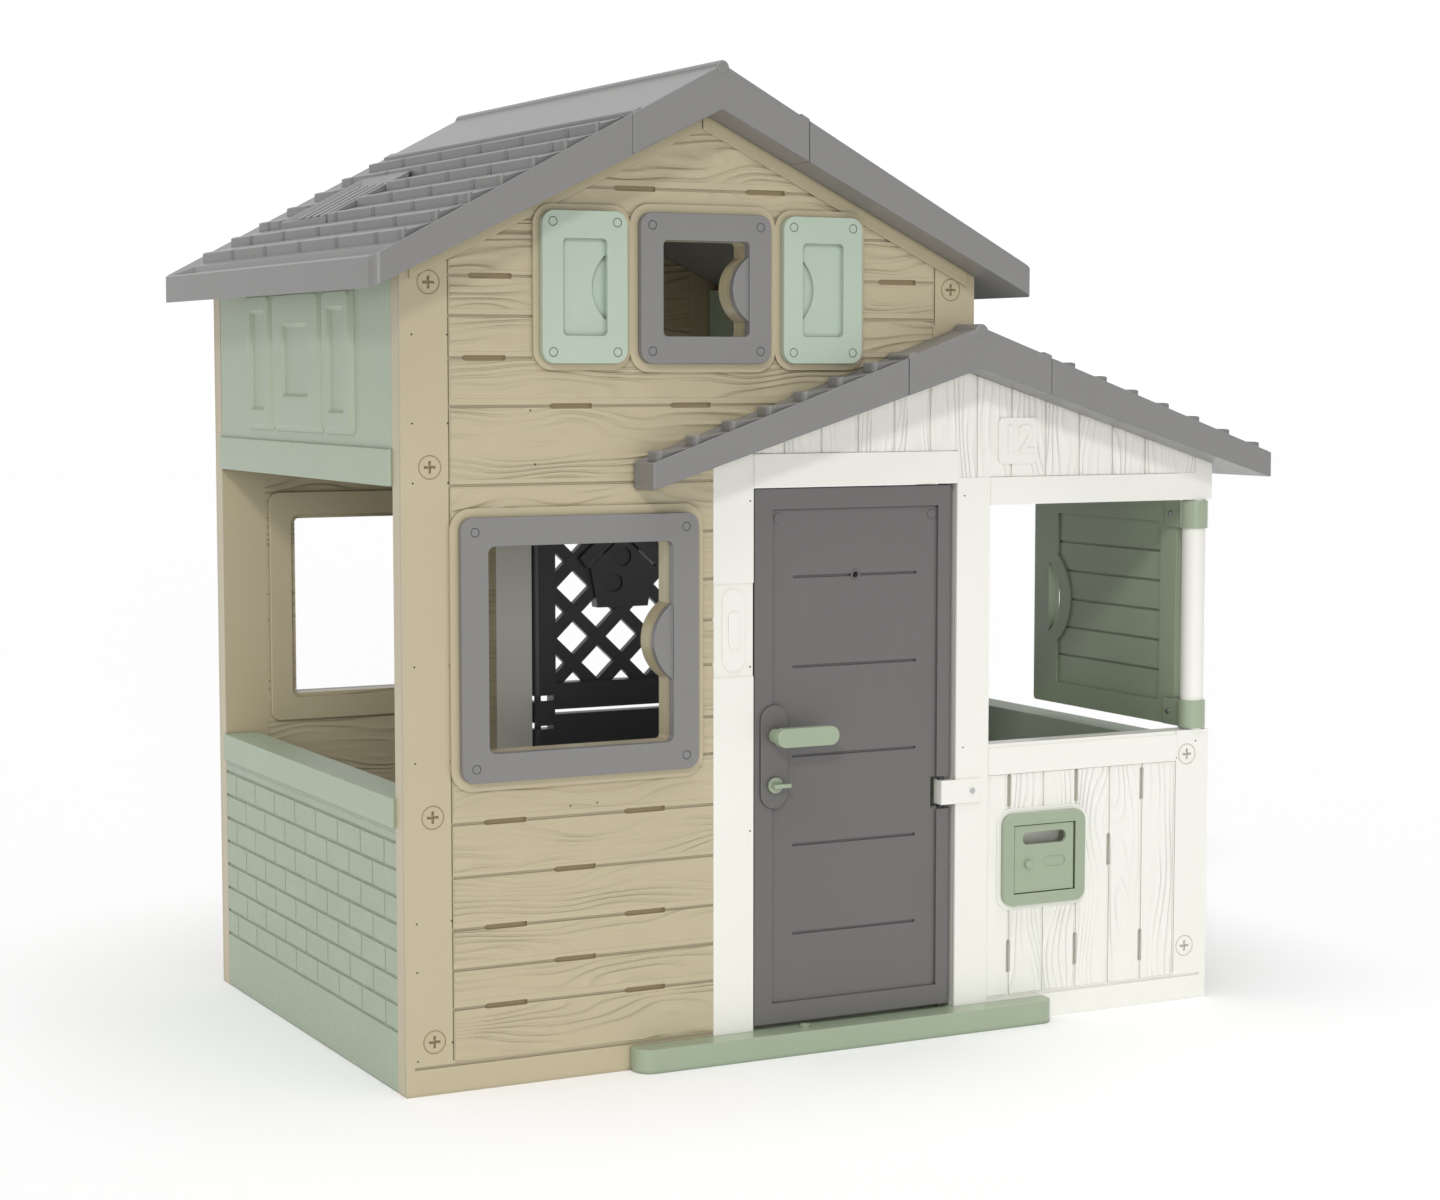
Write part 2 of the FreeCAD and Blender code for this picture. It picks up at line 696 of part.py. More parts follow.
def rake_x(height):
    """West edge of the gable at a height."""
    top = s.peak - s.peak_thick
    return mid - (top - height) / ((top - s.eave_low) / main_run)


def upper_panel(label, side):
    """Tan gable panel over both lower modules."""
    body = new_body(label)
    shoulder = main_under(mid)
    add_wall(body, side, 0, s.wall, polygon(
        (0, s.seam), (ridge_x - run_at_seam(), s.seam), (ridge_x, annexe_under(as_size(0))),
        (house, annexe_under(s.past_ridge)), (house, shoulder),
        (mid, s.peak - s.peak_thick), (0, shoulder)))
    if side == "front":
        cut_wall(body, side, 0, s.wall, rounded(
            mid - s.gable_wide / 2, s.gable_low, mid + s.gable_wide / 2,
            s.gable_low + s.gable_tall, s.corner_round))
        add_wall(body, side, 0, s.wall, crescent(
            mid + s.gable_wide / 2, s.gable_low + s.gable_tall / 2,
            s.gable_lobe_half, -s.gable_lobe_out))
        window_moulding(body, side, gable_left, gable_base, gable_right, gable_top)
        for way in (-1, 1):
            left, right = leaf_edges(way)
            rim = s.leaf_rim
            add_wall(body, side, -s.mould_proud, s.mould_proud,
                     rounded(left - rim, gable_base - rim, right + rim, gable_top + rim,
                             s.frame_round + rim),
                     rounded(left, gable_base, right, gable_top, s.frame_round))
        cut_wall(body, side, 0, s.peg_bite,
                 *[disc(x, z, s.peg + 0.1) for x, z in gable_pegs() + leaf_pegs()])
    strip_end = s.strip_inset + s.strip
    lines = []
    for height in upper_boards:
        low_enough = rake_x(height).value + 25 < strip_end.value
        start = strip_end if low_enough else rake_x(height) + 25
        end = house - start
        beside = gable_base.value - 20 < height.value < gable_top.value + 20
        if side == "front" and beside:
            lines.append(joint_line(start, leaf_edges(-1)[0] - s.leaf_rim, height))
            lines.append(joint_line(leaf_edges(1)[1] + s.leaf_rim, end, height))
        else:
            lines.append(joint_line(start, end, height))
    cut_wall(body, side, 0, s.groove_deep, *lines)
    edge = s.groove / 2
    cut_wall(body, side, 0, s.groove_deep,
             rectangle(strip_end - edge, s.seam, strip_end, upper_boards[4] - 20),
             rectangle(house - strip_end, ridge_z_over_strip(), house - strip_end + edge,
                       upper_boards[4] - 20))
    slots = [long_slot(strip_end + 24, upper_boards[1]), long_slot(strip_end + 36, upper_boards[3]),
             long_slot(mid - 285, upper_boards[0]), long_slot(mid - 60, upper_boards[0]),
             long_slot(mid - 165, upper_boards[5]), long_slot(mid + 85, upper_boards[5]),
             long_slot(house - strip_end - 115, upper_boards[3])]
    cut_wall(body, side, 0, s.slot_deep, *slots)
    screw_holes(body, side, [(s.screw_in, upper_screw), (house - s.screw_in, upper_screw)])
    return body


def ridge_z_over_strip():
    """Start of the east corner strip, just above the annexe roof."""
    return annexe_over(as_size(0)) + s.groove


def door_frame(label, side, pivot_x):
    """White panel: the post beside the door, and the lintel and gable above it."""
    body = new_body(label)
    add_wall(body, side, 0, s.wall, polygon(
        (s.window_wall, 0), (door_left, 0), (door_left, s.lintel), (door_right, s.lintel),
        (door_right, annexe_under(as_size(0))), (ridge_x - run_at_seam(), s.seam),
        (s.window_wall, s.seam)))
    add_wall(body, side, -s.rail_proud, s.rail_proud,
             rectangle(door_left, s.lintel, door_right, s.lintel + s.band))
    bell_mid = s.window_wall + s.post / 2
    bell_top = s.bell_low + s.bell_tall
    cut_wall(body, side, 0, s.rail_proud, rectangle(
        s.window_wall, s.bell_low - s.bell_margin, door_left, bell_top + s.bell_margin))
    add_wall(body, side, 0, s.rail_proud, pill(
        bell_mid - s.bell_wide / 2, s.bell_low, bell_mid + s.bell_wide / 2, bell_top))
    button_low = s.bell_low + (s.bell_tall - s.button_tall) / 2
    add_wall(body, side, -s.rail_proud, s.rail_proud, pill(
        bell_mid - s.button_wide / 2, button_low,
        bell_mid + s.button_wide / 2, button_low + s.button_tall))
    top = s.lintel + s.band
    planks = []
    for i in range(5):
        x = door_left + 60 + s.plank * i
        high = porch_under(ridge_x - x)
        if high.value > top.value + 30:
            planks.append(plank_line(x, top, high))
    cut_wall(body, side, 0, s.groove_deep, *planks)
    cut(body, "top", s.lintel, s.pin_bite, disc(pivot_x, pivot_at(side), s.pin + s.run_fit))
    if side == "rear":
        clip_bore(body, side)
    return body


def pivot_at(side):
    """y of the door pivots in a wall."""
    return pivot_y if side == "front" else s.deep - pivot_y


def clip_screw_place(side):
    """x and z of the screw through a hinge clip's strap."""
    if side == "front":
        return front_pivot_x + s.clip_reach - 18, s.notch_mid
    return rear_pivot_x - s.clip_reach + 18, s.split


def clip_bore(body, side):
    """Blind bore in a wall for a hinge clip's screw."""
    x, z = clip_screw_place(side)
    cut_wall(body, side, 0, s.steel_bite, disc(x, z, s.steel_shank + 0.1))


def annexe_panel(label, side):
    """White panel with the annexe window, open at the corner for the tube."""
    body = new_body(label)
    opening_left = door_right + s.stile
    eave = annexe_under(s.long - ridge_x)
    add_wall(body, side, 0, s.wall, polygon(
        (door_right, 0), (s.long, 0), (s.long, s.sill), (opening_left, s.sill),
        (opening_left, s.head), (s.long, s.head), (s.long, eave),
        (door_right, annexe_under(as_size(0)))))
    strip_x = s.long - s.strip - s.strip_inset / 2
    low_band = s.sill - s.rail_band - 7
    add_wall(body, side, -s.rail_proud, s.rail_proud,
             rectangle(opening_left, low_band, strip_x, s.sill - 7),
             rectangle(opening_left, s.head, strip_x, s.head + s.rail_band))
    planks = []
    slots = []
    x = opening_left + 47
    for i in range(5):
        planks.append(plank_line(x, s.skirt, low_band))
        lows = (low_band - s.slot_long, s.skirt + 40) if i % 2 == 0 else (low_band - 200,)
        slots += [tall_slot(x, low) for low in lows]
        x = x + s.plank
    cut_wall(body, side, 0, s.groove_deep, *planks)
    upper = []
    x = door_right + 40
    for i in range(6):
        upper.append(plank_line(x, s.head + s.rail_band, annexe_under(x - ridge_x)))
        x = x + s.plank
    cut_wall(body, side, 0, s.groove_deep, *upper)
    cut_wall(body, side, 0, s.groove_deep,
             rectangle(opening_left, s.skirt - s.groove, s.long - s.strip_inset, s.skirt),
             rectangle(strip_x, s.skirt + s.groove, strip_x + s.groove / 2, s.sill))
    if side == "front":
        slots = [tall_slot(opening_left + 47 + s.plank * i, low) for i, low in SLOTS_BY_LETTERBOX]
    cut_wall(body, side, 0, s.slot_deep, *slots)
    screw_holes(body, side, [(s.long - s.screw_in, z) for z in annexe_screws])
    bore = s.tube_peg + 0.1
    for base in (s.sill - s.tube_bite, s.head):
        cut(body, "top", base, s.tube_bite, disc(tube_x, pivot_at(side), bore))
    if side == "front":
        clip_bore(body, side)
        letterbox_seat(body)
        plate_x = door_right + s.number_in
        add_wall(body, side, -s.rail_proud, s.rail_proud, rounded(
            plate_x, s.number_low, plate_x + s.number_wide, s.number_low + s.number_wide, 10))
    return body


# plank number and bottom height of the slots that the letterbox leaves clear
SLOTS_BY_LETTERBOX = ((0, 402), (2, 402), (4, 395), (3, 275), (0, 92), (2, 92), (4, 85))


def letterbox_seat(body):
    """The pocket, the raised rim and the frame's seat on the annexe panel."""
    edge = s.box_border
    rim = s.box_rim
    right, high = box_left + s.box_wide, s.box_low + s.box_tall
    cut_wall(body, "front", -s.mould_proud, s.mould_proud + s.box_deep, rounded(
        box_left + edge, s.box_low + edge, right - edge, high - edge, 4))
    add_wall(body, "front", -s.mould_proud / 2, s.mould_proud / 2,
             rounded(box_left - rim, s.box_low - rim, right + rim, high + rim,
                     s.frame_round + rim),
             rounded(box_left, s.box_low, right, high, s.frame_round))


# ---------------------------------------------------------------- side walls
def low_wall(label, x0, x1, outer):
    """Low side wall with brick courses under a smooth band; outer is -1 or 1."""
    body = new_body(label)
    near, far = s.wall, s.deep - s.wall
    add(body, "side", x0, x1 - x0, rectangle(near, 0, far, s.low_wall))
    face = x0 if outer < 0 else x1
    proud = s.mould_proud
    band_at = face - proud if outer < 0 else face
    add(body, "side", band_at, proud,
        rectangle(near, s.low_wall - s.cap_band, far, s.low_wall))
    deep = s.groove_deep
    groove_at = face if outer < 0 else face - deep
    top = s.low_wall - s.cap_band - 24
    half = s.groove / 2
    first = cut(body, "side", groove_at, deep, rectangle(near, top - half, far, top + half))
    repeat(body, first, s.brick, 8)
    for row, shift in ((0, 0.5), (1, 1.0)):
        level = top - s.brick * (row + 1) + half
        joints = []
        y = near + s.brick_long * shift
        while y.value < far.value - 30:
            joints.append(rectangle(y - half, level, y + half, level + s.brick - s.groove))
            y = y + s.brick_long
        start = cut(body, "side", groove_at, deep, *joints)
        repeat(body, start, s.brick * 2, 4 - row)
    return body


def repeat(body, feature, pitch, count):
    """Copy a cut downwards at an even pitch."""
    pattern = body.newObject("PartDesign::LinearPattern", body.Label + "_courses")
    pattern.Originals = [feature]
    axis = [item for item in body.Origin.OriginFeatures if item.Role == "Z_Axis"][0]
    pattern.Direction = (axis, [""])
    pattern.Reversed = True
    pattern.Mode = "Spacing"
    pattern.Occurrences = count
    pattern.Offset = pitch.value
    pattern.setExpression("Offset", pitch.text)
    body.Tip = pattern
    return pattern


def side_fascia(label, x0, outer, reliefs):
    """Upper side panel under the main eaves."""
    body = new_body(label)
    near, far = s.wall, s.deep - s.wall
    top = main_under(mid)
    add(body, "side", x0, s.wall, rectangle(near, s.fascia_low, far, top))
    if not reliefs:
        return body
    proud = s.mould_proud
    at = x0 - proud if outer < 0 else x0 + s.wall
    add(body, "side", at, proud, rectangle(near, s.fascia_low, far, s.fascia_low + s.ledge))
    centre = s.deep / 2
    pitch = s.relief_wide + s.relief_gap
    low, high = s.fascia_low + s.ledge + s.relief_up, top - s.relief_down
    loops = []
    for k in (-1, 0, 1):
        left = centre + pitch * k - s.relief_wide / 2
        right = left + s.relief_wide
        loops += [rounded(left, low, right, high, s.relief_round),
                  rounded(left + s.relief_rim, low + s.relief_rim, right - s.relief_rim,
                          high - s.relief_rim, s.corner_round)]
    add(body, "side", at, proud, *loops)
    return body


# ---------------------------------------------------------------- roofs
def roof_half(label, apex_x, way, near, far, y0, length, under, over, courses):
    """A slope between two distances from the ridge, stepped like tile courses."""
    corners = [(apex_x + near * way, under(near)), (apex_x + far * way, under(far))]
    pitch = (far - near) / courses
    for i in range(courses):
        low_run = far - pitch * i
        high_run = far - pitch * (i + 1)
        corners.append((apex_x + low_run * way, over(low_run)))
        corners.append((apex_x + high_run * way, over(high_run) - s.course_step))
    body = new_body(label)
    add(body, "front", y0, length, polygon(*corners))
    return body


def ridge_cap(label, apex_x, half, y0, length, west, east):
    """The folded piece over a ridge; west and east are each slope's two surfaces."""
    (under_west, over_west), (under_east, over_east) = west, east
    none = as_size(0)
    flat = as_size(12)
    body = new_body(label)
    add(body, "front", y0, length, polygon(
        (apex_x - half, under_west(half)), (apex_x, under_west(none)),
        (apex_x + half, under_east(half)), (apex_x + half, over_east(half)),
        (apex_x + flat, over_east(flat)), (apex_x + flat, over_east(none)),
        (apex_x - flat, over_east(none)), (apex_x - flat, over_west(flat)),
        (apex_x - half, over_west(half))))
    return body


# ---------------------------------------------------------------- windows
def window_frame(label, side):
    """Grey frame snapped round the big window."""
    body = new_body(label)
    right = s.window_left + s.window_wide
    add_wall(body, side, -s.frame_proud, s.frame_proud,
             rounded(frame_left, frame_low, frame_right, frame_high, s.frame_round),
             rounded(s.window_left, s.window_low, right, s.window_low + s.window_tall, 12),
             *[disc(x, z, s.peg + 0.1) for x, z in big_pegs()])
    lobe_z = s.window_low + s.window_tall / 2
    add_wall(body, side, -s.frame_proud + 5, s.frame_proud - 5,
             crescent(right, lobe_z, s.lobe_half, -s.lobe_out))
    return body


def gable_frame(label):
    body = new_body(label)
    left, right = mid - s.gable_wide / 2, mid + s.gable_wide / 2
    add_wall(body, "front", -s.frame_proud, s.frame_proud,
             rounded(gable_left, gable_base, gable_right, gable_top, s.frame_round),
             rounded(left, s.gable_low, right, s.gable_low + s.gable_tall, s.corner_round),
             *[disc(x, z, s.peg + 0.1) for x, z in gable_pegs()])
    add_wall(body, "front", -s.frame_proud + 5, s.frame_proud - 5,
             crescent(right, s.gable_low + s.gable_tall / 2, s.gable_lobe_half,
                      -s.gable_lobe_out))
    return body


def gable_shutter(label, way):
    """Fixed shutter leaf beside the gable window."""
    body = new_body(label)
    left, right = leaf_edges(way)
    pegs = [(x, z) for x, z in leaf_pegs() if left.value < x.value < right.value]
    add_wall(body, "front", -s.frame_proud, s.frame_proud,
             rounded(left, gable_base, right, gable_top, s.frame_round),
             *[disc(x, z, s.peg + 0.1) for x, z in pegs])
    centre = (left + right) / 2
    half = s.leaf_recess / 2
    cut_wall(body, "front", -s.frame_proud, s.leaf_sink, rounded(
        centre - half, s.gable_low, centre + half, s.gable_low + s.gable_tall, s.corner_round))
    cut_wall(body, "front", -s.frame_proud + s.leaf_sink, s.leaf_sink * 0.7, crescent(
        centre - half * way, s.gable_low + s.gable_tall / 2, s.gable_lobe_half, 25 * way))
    return body


def pins(label, group):
    """Round pins through the frames into the walls, one solid each."""
    body = new_body(label)
    for side, places in group:
        add_wall(body, side, -s.frame_proud, s.frame_proud + s.peg_bite,
                 *[disc(x, z, s.peg) for x, z in places])
    return body


def plastic_screws(label, group):
    """Large cross-slot screws: a flat head on a blunt shank."""
    body = new_body(label)
    for side, places in group:
        add_wall(body, side, 0, s.screw_sink, *[disc(x, z, s.screw_head) for x, z in places])
        add_wall(body, side, s.screw_sink, s.screw_bite,
                 *[disc(x, z, s.screw_shank) for x, z in places])
        arm, half = s.cross_long / 2, s.cross_wide / 2
        for lay in (0, 1):
            a, b = (arm, half) if lay == 0 else (half, arm)
            cut_wall(body, side, 0, s.cross_deep,
                     *[rectangle(x - a, z - b, x + a, z + b) for x, z in places])
    return body


# ---------------------------------------------------------------- doors
def notch(body, pivot_x, way, side, low, high):
    """Open a hinge notch at the pivot edge, leaving the round rod inside it."""
    axis_y = pivot_at(side)
    reach = s.notch_wide
    edge = pivot_x + (s.door_thick / 2 + 2) * way
    inner = pivot_x - reach * way
    x0, x1 = (inner, edge) if way > 0 else (edge, inner)
    half = s.door_thick / 2 + 2
    cut(body, "top", low, high - low, rectangle(x0, axis_y - half, x1, axis_y + half))


def door_slab(body, side, pivot_x, way, low, high):
    """A flat door whose pivot edge is round about the pivot axis."""
    axis_y = pivot_at(side)
    half = s.door_thick / 2
    free = door_left + s.door_gap if way > 0 else door_right - s.door_gap
    x0, x1 = (free, pivot_x) if way > 0 else (pivot_x, free)
    add(body, "top", low, high - low, rectangle(x0, axis_y - half, x1, axis_y + half))
    add(body, "top", low, high - low, disc(pivot_x, axis_y, half))


def hinge_rod(body, side, pivot_x, low, high):
    add(body, "top", low, high - low, disc(pivot_x, pivot_at(side), s.pin))


def front_door():
    body = new_body("front_door")
    low_notch = s.notch_mid - s.notch_tall / 2
    high_notch = s.notch_mid + s.notch_tall / 2
    door_slab(body, "front", front_pivot_x, 1, s.door_low, door_top)
    left = door_left + s.door_gap
    inner_left, inner_right = left + s.door_stile, door_right - s.door_gap - s.door_stile
    face = door_in
    plate_left = left + s.plate_edge
    plate_low = s.plate_mid - s.plate_tall / 2
    cut(body, "front", face, s.door_sink, rectangle(
        inner_left, s.door_low + s.door_stile, inner_right, door_top - s.door_stile))
    cut(body, "front", face, s.door_sink, pill(
        plate_left, plate_low, plate_left + s.plate_wide, plate_low + s.plate_tall))
    centre = (inner_left + inner_right) / 2
    half = s.line_long / 2
    lines = []
    for i in range(5):
        height = s.line_low + s.line_gap * i
        lines.append(joint_line(centre - half, centre + half, height))
    cut(body, "front", face + s.door_sink, s.groove_deep, *lines)
    cut(body, "front", face, s.door_thick, disc(centre, s.line_low + s.line_gap * 4, s.peephole))
    spindle_x = plate_left + s.plate_wide / 2
    for height in (s.lever_high, s.key_high):
        cut(body, "front", face + s.door_sink, s.spindle_bite + 4, disc(spindle_x, height, s.spindle + s.run_fit))
    notch(body, front_pivot_x, 1, "front", low_notch, high_notch)
    hinge_rod(body, "front", front_pivot_x, low_notch, high_notch)
    for base in (s.door_low, door_top - s.pin_bite):
        cut(body, "top", base, s.pin_bite, disc(front_pivot_x, pivot_y, s.pin))
    return body


def pivot_pins(label, side, pivot_x, ends):
    """Pivot pins: fixed in the door, turning in the lintel or the threshold."""
    body = new_body(label)
    for low, high in ends:
        add(body, "top", low, high - low, disc(pivot_x, pivot_at(side), s.pin))
    return body


def top_pin_span():
    return (door_top - s.pin_bite, s.lintel + s.pin_bite - 2)


def foot_pin_span():
    return (s.step_tall - s.pin_bite + 2, s.door_low + s.pin_bite)


def hinge_clip(label, side, pivot_x, way, middle):
    """A ring round the door's rod, with a strap screwed to the frame."""
    body = new_body(label)
    low = middle - s.clip_tall / 2
    y = pivot_at(side)
    outer = s.pin + s.slack + s.clip_wall
    face = as_size(0) if side == "front" else s.deep
    strap_y = face - s.clip_strap if side == "front" else face
    strap_end = pivot_x + s.clip_reach * way
    x0, x1 = (pivot_x, strap_end) if way > 0 else (strap_end, pivot_x)
    add(body, "top", low, s.clip_tall, disc(pivot_x, y, outer))
    neck = pivot_x - outer * way
    n0, n1 = (neck, pivot_x + outer * way) if way > 0 else (pivot_x + outer * way, neck)
    if side == "front":
        add(body, "top", low, s.clip_tall, rectangle(n0, strap_y, n1, y))
    else:
        add(body, "top", low, s.clip_tall, rectangle(n0, y, n1, strap_y + s.clip_strap))
    add(body, "front", strap_y, s.clip_strap, rectangle(x0, low, x1, low + s.clip_tall))
    cut(body, "top", low, s.clip_tall, disc(pivot_x, y, s.pin + s.slack))
    cut(body, "front", strap_y, s.clip_strap,
        disc(*clip_screw_place(side), s.steel_shank + 0.1))
    return body


def rear_lower_door():
    body = new_body("rear_lower_door")
    top = s.split - s.split_gap / 2
    door_slab(body, "rear", rear_pivot_x, -1, s.door_low, top)
    edge = s.door_stile
    right = door_right - s.door_gap
    cut(body, "front", s.deep - door_in - s.door_sink, s.door_sink, rectangle(
        rear_pivot_x + edge, s.door_low + edge, right - edge, top - edge))
    notch(body, rear_pivot_x, -1, "rear", top - 30, top)
    hinge_rod(body, "rear", rear_pivot_x, top - 30, top)
    cut(body, "top", s.door_low, s.pin_bite, disc(rear_pivot_x, pivot_at("rear"), s.pin))
    return body


def rear_upper_door():
    """Half door with a diagonal lattice and a birdhouse plaque."""
    low = s.split + s.split_gap / 2
    frame = new_body("lattice_frame")
    door_slab(frame, "rear", rear_pivot_x, -1, low, door_top)
    right = door_right - s.door_gap
    x0, x1 = rear_pivot_x + s.lattice_west, right - s.lattice_east
    z0, z1 = low + s.lattice_foot, door_top - s.lattice_head
    y0 = s.deep - s.wall + door_in
    cut(frame, "front", y0, s.door_thick, rectangle(x0, z0, x1, z1))
    notch(frame, rear_pivot_x, -1, "rear", low, low + 30)
    hinge_rod(frame, "rear", rear_pivot_x, low, low + 30)
    cut(frame, "top", door_top - s.pin_bite, s.pin_bite,
        disc(rear_pivot_x, pivot_at("rear"), s.pin))
    bars = []
    tilt = LATTICE_TILT
    wide, thick, pitch = s.bar_wide.value, s.bar_thick.value, s.bar_pitch.value
    centre_x, centre_z = (x0 + x1) / 2, (z0 + z1) / 2
    long = (x1 - x0) * 2
    for way in (-1, 1):
        turn = FreeCAD.Rotation(V(0, 1, 0), tilt * way)
        for k in range(-4, 4):
            bar = doc.addObject("Part::Box", "lattice_bar")
            bar.setExpression("Length", long.text)
            bar.Width = thick - 2 * (way > 0)
            bar.Height = wide
            shift = turn.multVec(V(-long.value / 2, 0, pitch * (k + 0.5) - wide / 2))
            bar.Placement = FreeCAD.Placement(shift, turn)
            bar.setExpression("Placement.Base.x", (SHIFT_X + centre_x + shift.x).text)
            bar.setExpression("Placement.Base.y", (SHIFT_Y + y0 + 8 + (way > 0)).text)
            bar.setExpression("Placement.Base.z", (centre_z + shift.z).text)
            bars.append(bar)
    mesh = doc.addObject("Part::MultiFuse", "lattice_bars")
    mesh.Shapes = bars
    field = doc.addObject("Part::Box", "lattice_field")
    grow = s.bar_grow
    field.setExpression("Length", (x1 - x0 + 2 * grow).text)
    field.setExpression("Width", s.door_thick.text)
    field.setExpression("Height", (z1 - z0 + 2 * grow).text)
    field.setExpression("Placement.Base.x", (SHIFT_X + x0 - grow).text)
    field.setExpression("Placement.Base.y", (SHIFT_Y + y0).text)
    field.setExpression("Placement.Base.z", (z0 - grow).text)
    trimmed = doc.addObject("Part::MultiCommon", "lattice_trimmed")
    trimmed.Shapes = [mesh, field]
    plaque = birdhouse(y0, x0 + s.house_in, z1)
    door = doc.addObject("Part::MultiFuse", "rear_upper_door")
    door.Shapes = [frame, trimmed, plaque]
    door.Label = "rear_upper_door"
    return door


def birdhouse(y0, centre, top):
    """A little nesting box moulded on the lattice."""
    body = new_body("birdhouse")
    foot, eave, peak = top - s.house_drop, top - s.house_eave, top - s.house_peak
    add(body, "front", y0 + 2, s.house_front, polygon(
        (centre - s.house_foot, foot), (centre + s.house_foot, foot),
        (centre + s.house_half, eave), (centre, peak), (centre - s.house_half, eave)))
    ridge, tip = top - s.house_ridge, top - s.house_tip
    inner = s.house_over * 0.81
    add(body, "front", y0, s.house_slab, polygon(
        (centre, ridge), (centre + s.house_over, tip), (centre + inner, eave),
        (centre, peak + 5), (centre - inner, eave), (centre - s.house_over, tip)))
    arch = s.house_hole * 2.2
    cut(body, "front", y0 + 2, s.house_sink,
        disc(centre, top - s.house_tip, s.house_hole))
    cut(body, "front", y0 + 2, s.house_sink,
        pill(centre - arch, foot + s.house_hole * 1.6, centre, foot + s.house_hole * 3.5))
    return body


# ---------------------------------------------------------------- door furniture
def plate_left_edge():
    return door_left + s.door_gap + s.plate_edge


def handle_plate():
    body = new_body("handle_plate")
    left = plate_left_edge()
    low = s.plate_mid - s.plate_tall / 2
    start = door_in + s.door_sink - s.plate_thick
    add(body, "front", start, s.plate_thick,
        pill(left, low, left + s.plate_wide, low + s.plate_tall))
    spindle_x = left + s.plate_wide / 2
    cut(body, "front", start, s.plate_thick,
        disc(spindle_x, s.lever_high, s.spindle + s.run_fit),
        disc(spindle_x, s.key_high, s.spindle + s.run_fit))
    return body


def door_handle():
    body = new_body("door_handle")
    x = plate_left_edge() + s.plate_wide / 2
    face = door_in + s.door_sink - s.plate_thick - s.slack
    z = s.lever_high
    half = s.lever_wide / 2
    add(body, "front", face - s.lever_gap, s.lever_gap, disc(x, z, s.lever_neck))
    add(body, "front", face - s.lever_gap - s.lever_thick, s.lever_thick,
        pill(x - half, z - half, x + s.lever_reach, z + half))
    add(body, "front", face, s.plate_thick + s.slack + s.spindle_bite,
        disc(x, z, s.spindle))
    return body


def door_key():
    body = new_body("door_key")
    x = plate_left_edge() + s.plate_wide / 2
    face = door_in + s.door_sink - s.plate_thick - s.slack
    z = s.key_high
    half = s.key_fin / 2
    add(body, "front", face - s.key_thick, s.key_thick, disc(x, z, s.key_disc))
    add(body, "front", face - s.key_thick - s.key_out, s.key_out, rounded(
        x - s.key_back, z - half, x + s.key_fore, z + half, s.key_fin * 0.43))
    add(body, "front", face, s.plate_thick + s.slack + s.spindle_bite,
        disc(x, z, s.spindle))
    return body


def threshold(label, side, pivot_x, way):
    """Step along the foot of the doorway, with a low stop in front of the door."""
    body = new_body(label)
    left, right = door_left - s.step_west, door_right + s.step_east
    reach = s.step_out
    if side == "front":
        y0, y1, inside = -reach, as_size(0), (0, s.wall)
    else:
        y0, y1, inside = s.deep, s.deep + reach, (s.deep - s.wall, s.deep)
    bury = s.step_round
    plan = rounded(left, y0, right, y1 + bury, s.step_round)
    if side == "rear":
        plan = rounded(left, y0 - bury, right, y1, s.step_round)
    add(body, "top", 0, s.step_tall, plan)
    spare = (0, bury + 1) if side == "front" else (s.deep - bury - 1, s.deep)
    for x0, x1 in ((left - 1, door_left), (door_right, right + 1)):
        cut(body, "top", 0, s.step_tall, rectangle(x0, spare[0], x1, spare[1]))
    add(body, "top", 0, s.step_tall, rectangle(door_left, inside[0], door_right, inside[1]))
    stop_y = -s.stop_radius * 1.4 if side == "front" else s.deep + s.stop_radius * 1.4
    add(body, "top", s.step_tall, s.stop_tall,
        disc(pivot_x - s.stop_from_pivot * way, stop_y, s.stop_radius))
    cut(body, "top", s.step_tall - s.pin_bite, s.pin_bite,
        disc(pivot_x, pivot_at(side), s.pin + s.run_fit))
    return body


# ---------------------------------------------------------------- annexe pieces
def corner_tube(label, side):
    body = new_body(label)
    y = pivot_at(side)
    add(body, "top", s.sill, s.head - s.sill, disc(tube_x, y, s.tube))
    add(body, "top", s.sill - s.tube_bite, s.head - s.sill + s.tube_bite * 2,
        disc(tube_x, y, s.tube_peg))
    return body


def shutter_y():
    near = pivot_y + s.shutter_near
    return near, near + s.shutter_wide


def side_shutter():
    body = new_body("side_shutter")
    near, far = shutter_y()
    low, high = s.sill + s.shutter_play, s.head - s.shutter_play
    half = s.shutter_thick / 2
    add(body, "side", tube_x - half, s.shutter_thick, rounded(near, low, far, high, s.corner_round))
    edge = s.shutter_border
    left, right = near + edge * 0.8, far - edge * 0.9
    grip_x = right + 4
    middle = (low + high) / 2
    for face in (tube_x - half, tube_x + half - s.shutter_sink):
        cut(body, "side", face, s.shutter_sink, rounded(
            left, low + edge * 0.7, right - s.grip_wide, high - edge * 0.7, 6))
    slat = (high - low - edge * 1.4) / 6
    lines = []
    for i in range(1, 6):
        height = low + edge * 0.7 + slat * i
        lines.append(joint_line(left, right - s.grip_wide, height))
    for face in (tube_x - half + s.shutter_sink, tube_x + half - s.shutter_sink - s.groove_deep):
        cut(body, "side", face, s.groove_deep, *lines)
    add(body, "side", tube_x - half, s.shutter_thick, crescent(
        right - s.grip_wide, middle, s.grip_half + 16, -(s.grip_wide + 18)))
    cut(body, "side", tube_x - half, s.shutter_thick, crescent(
        grip_x, middle, s.grip_half, -(s.grip_wide + 14)))
    for z in collar_lows():
        cut(body, "side", tube_x - half, s.steel_bite,
            disc(near + s.tab_screw, z + s.collar_tall / 2, s.steel_shank + 0.1))
    return body


def collar_lows():
    return (s.sill + s.shutter_play, s.head - s.shutter_play - s.collar_tall)


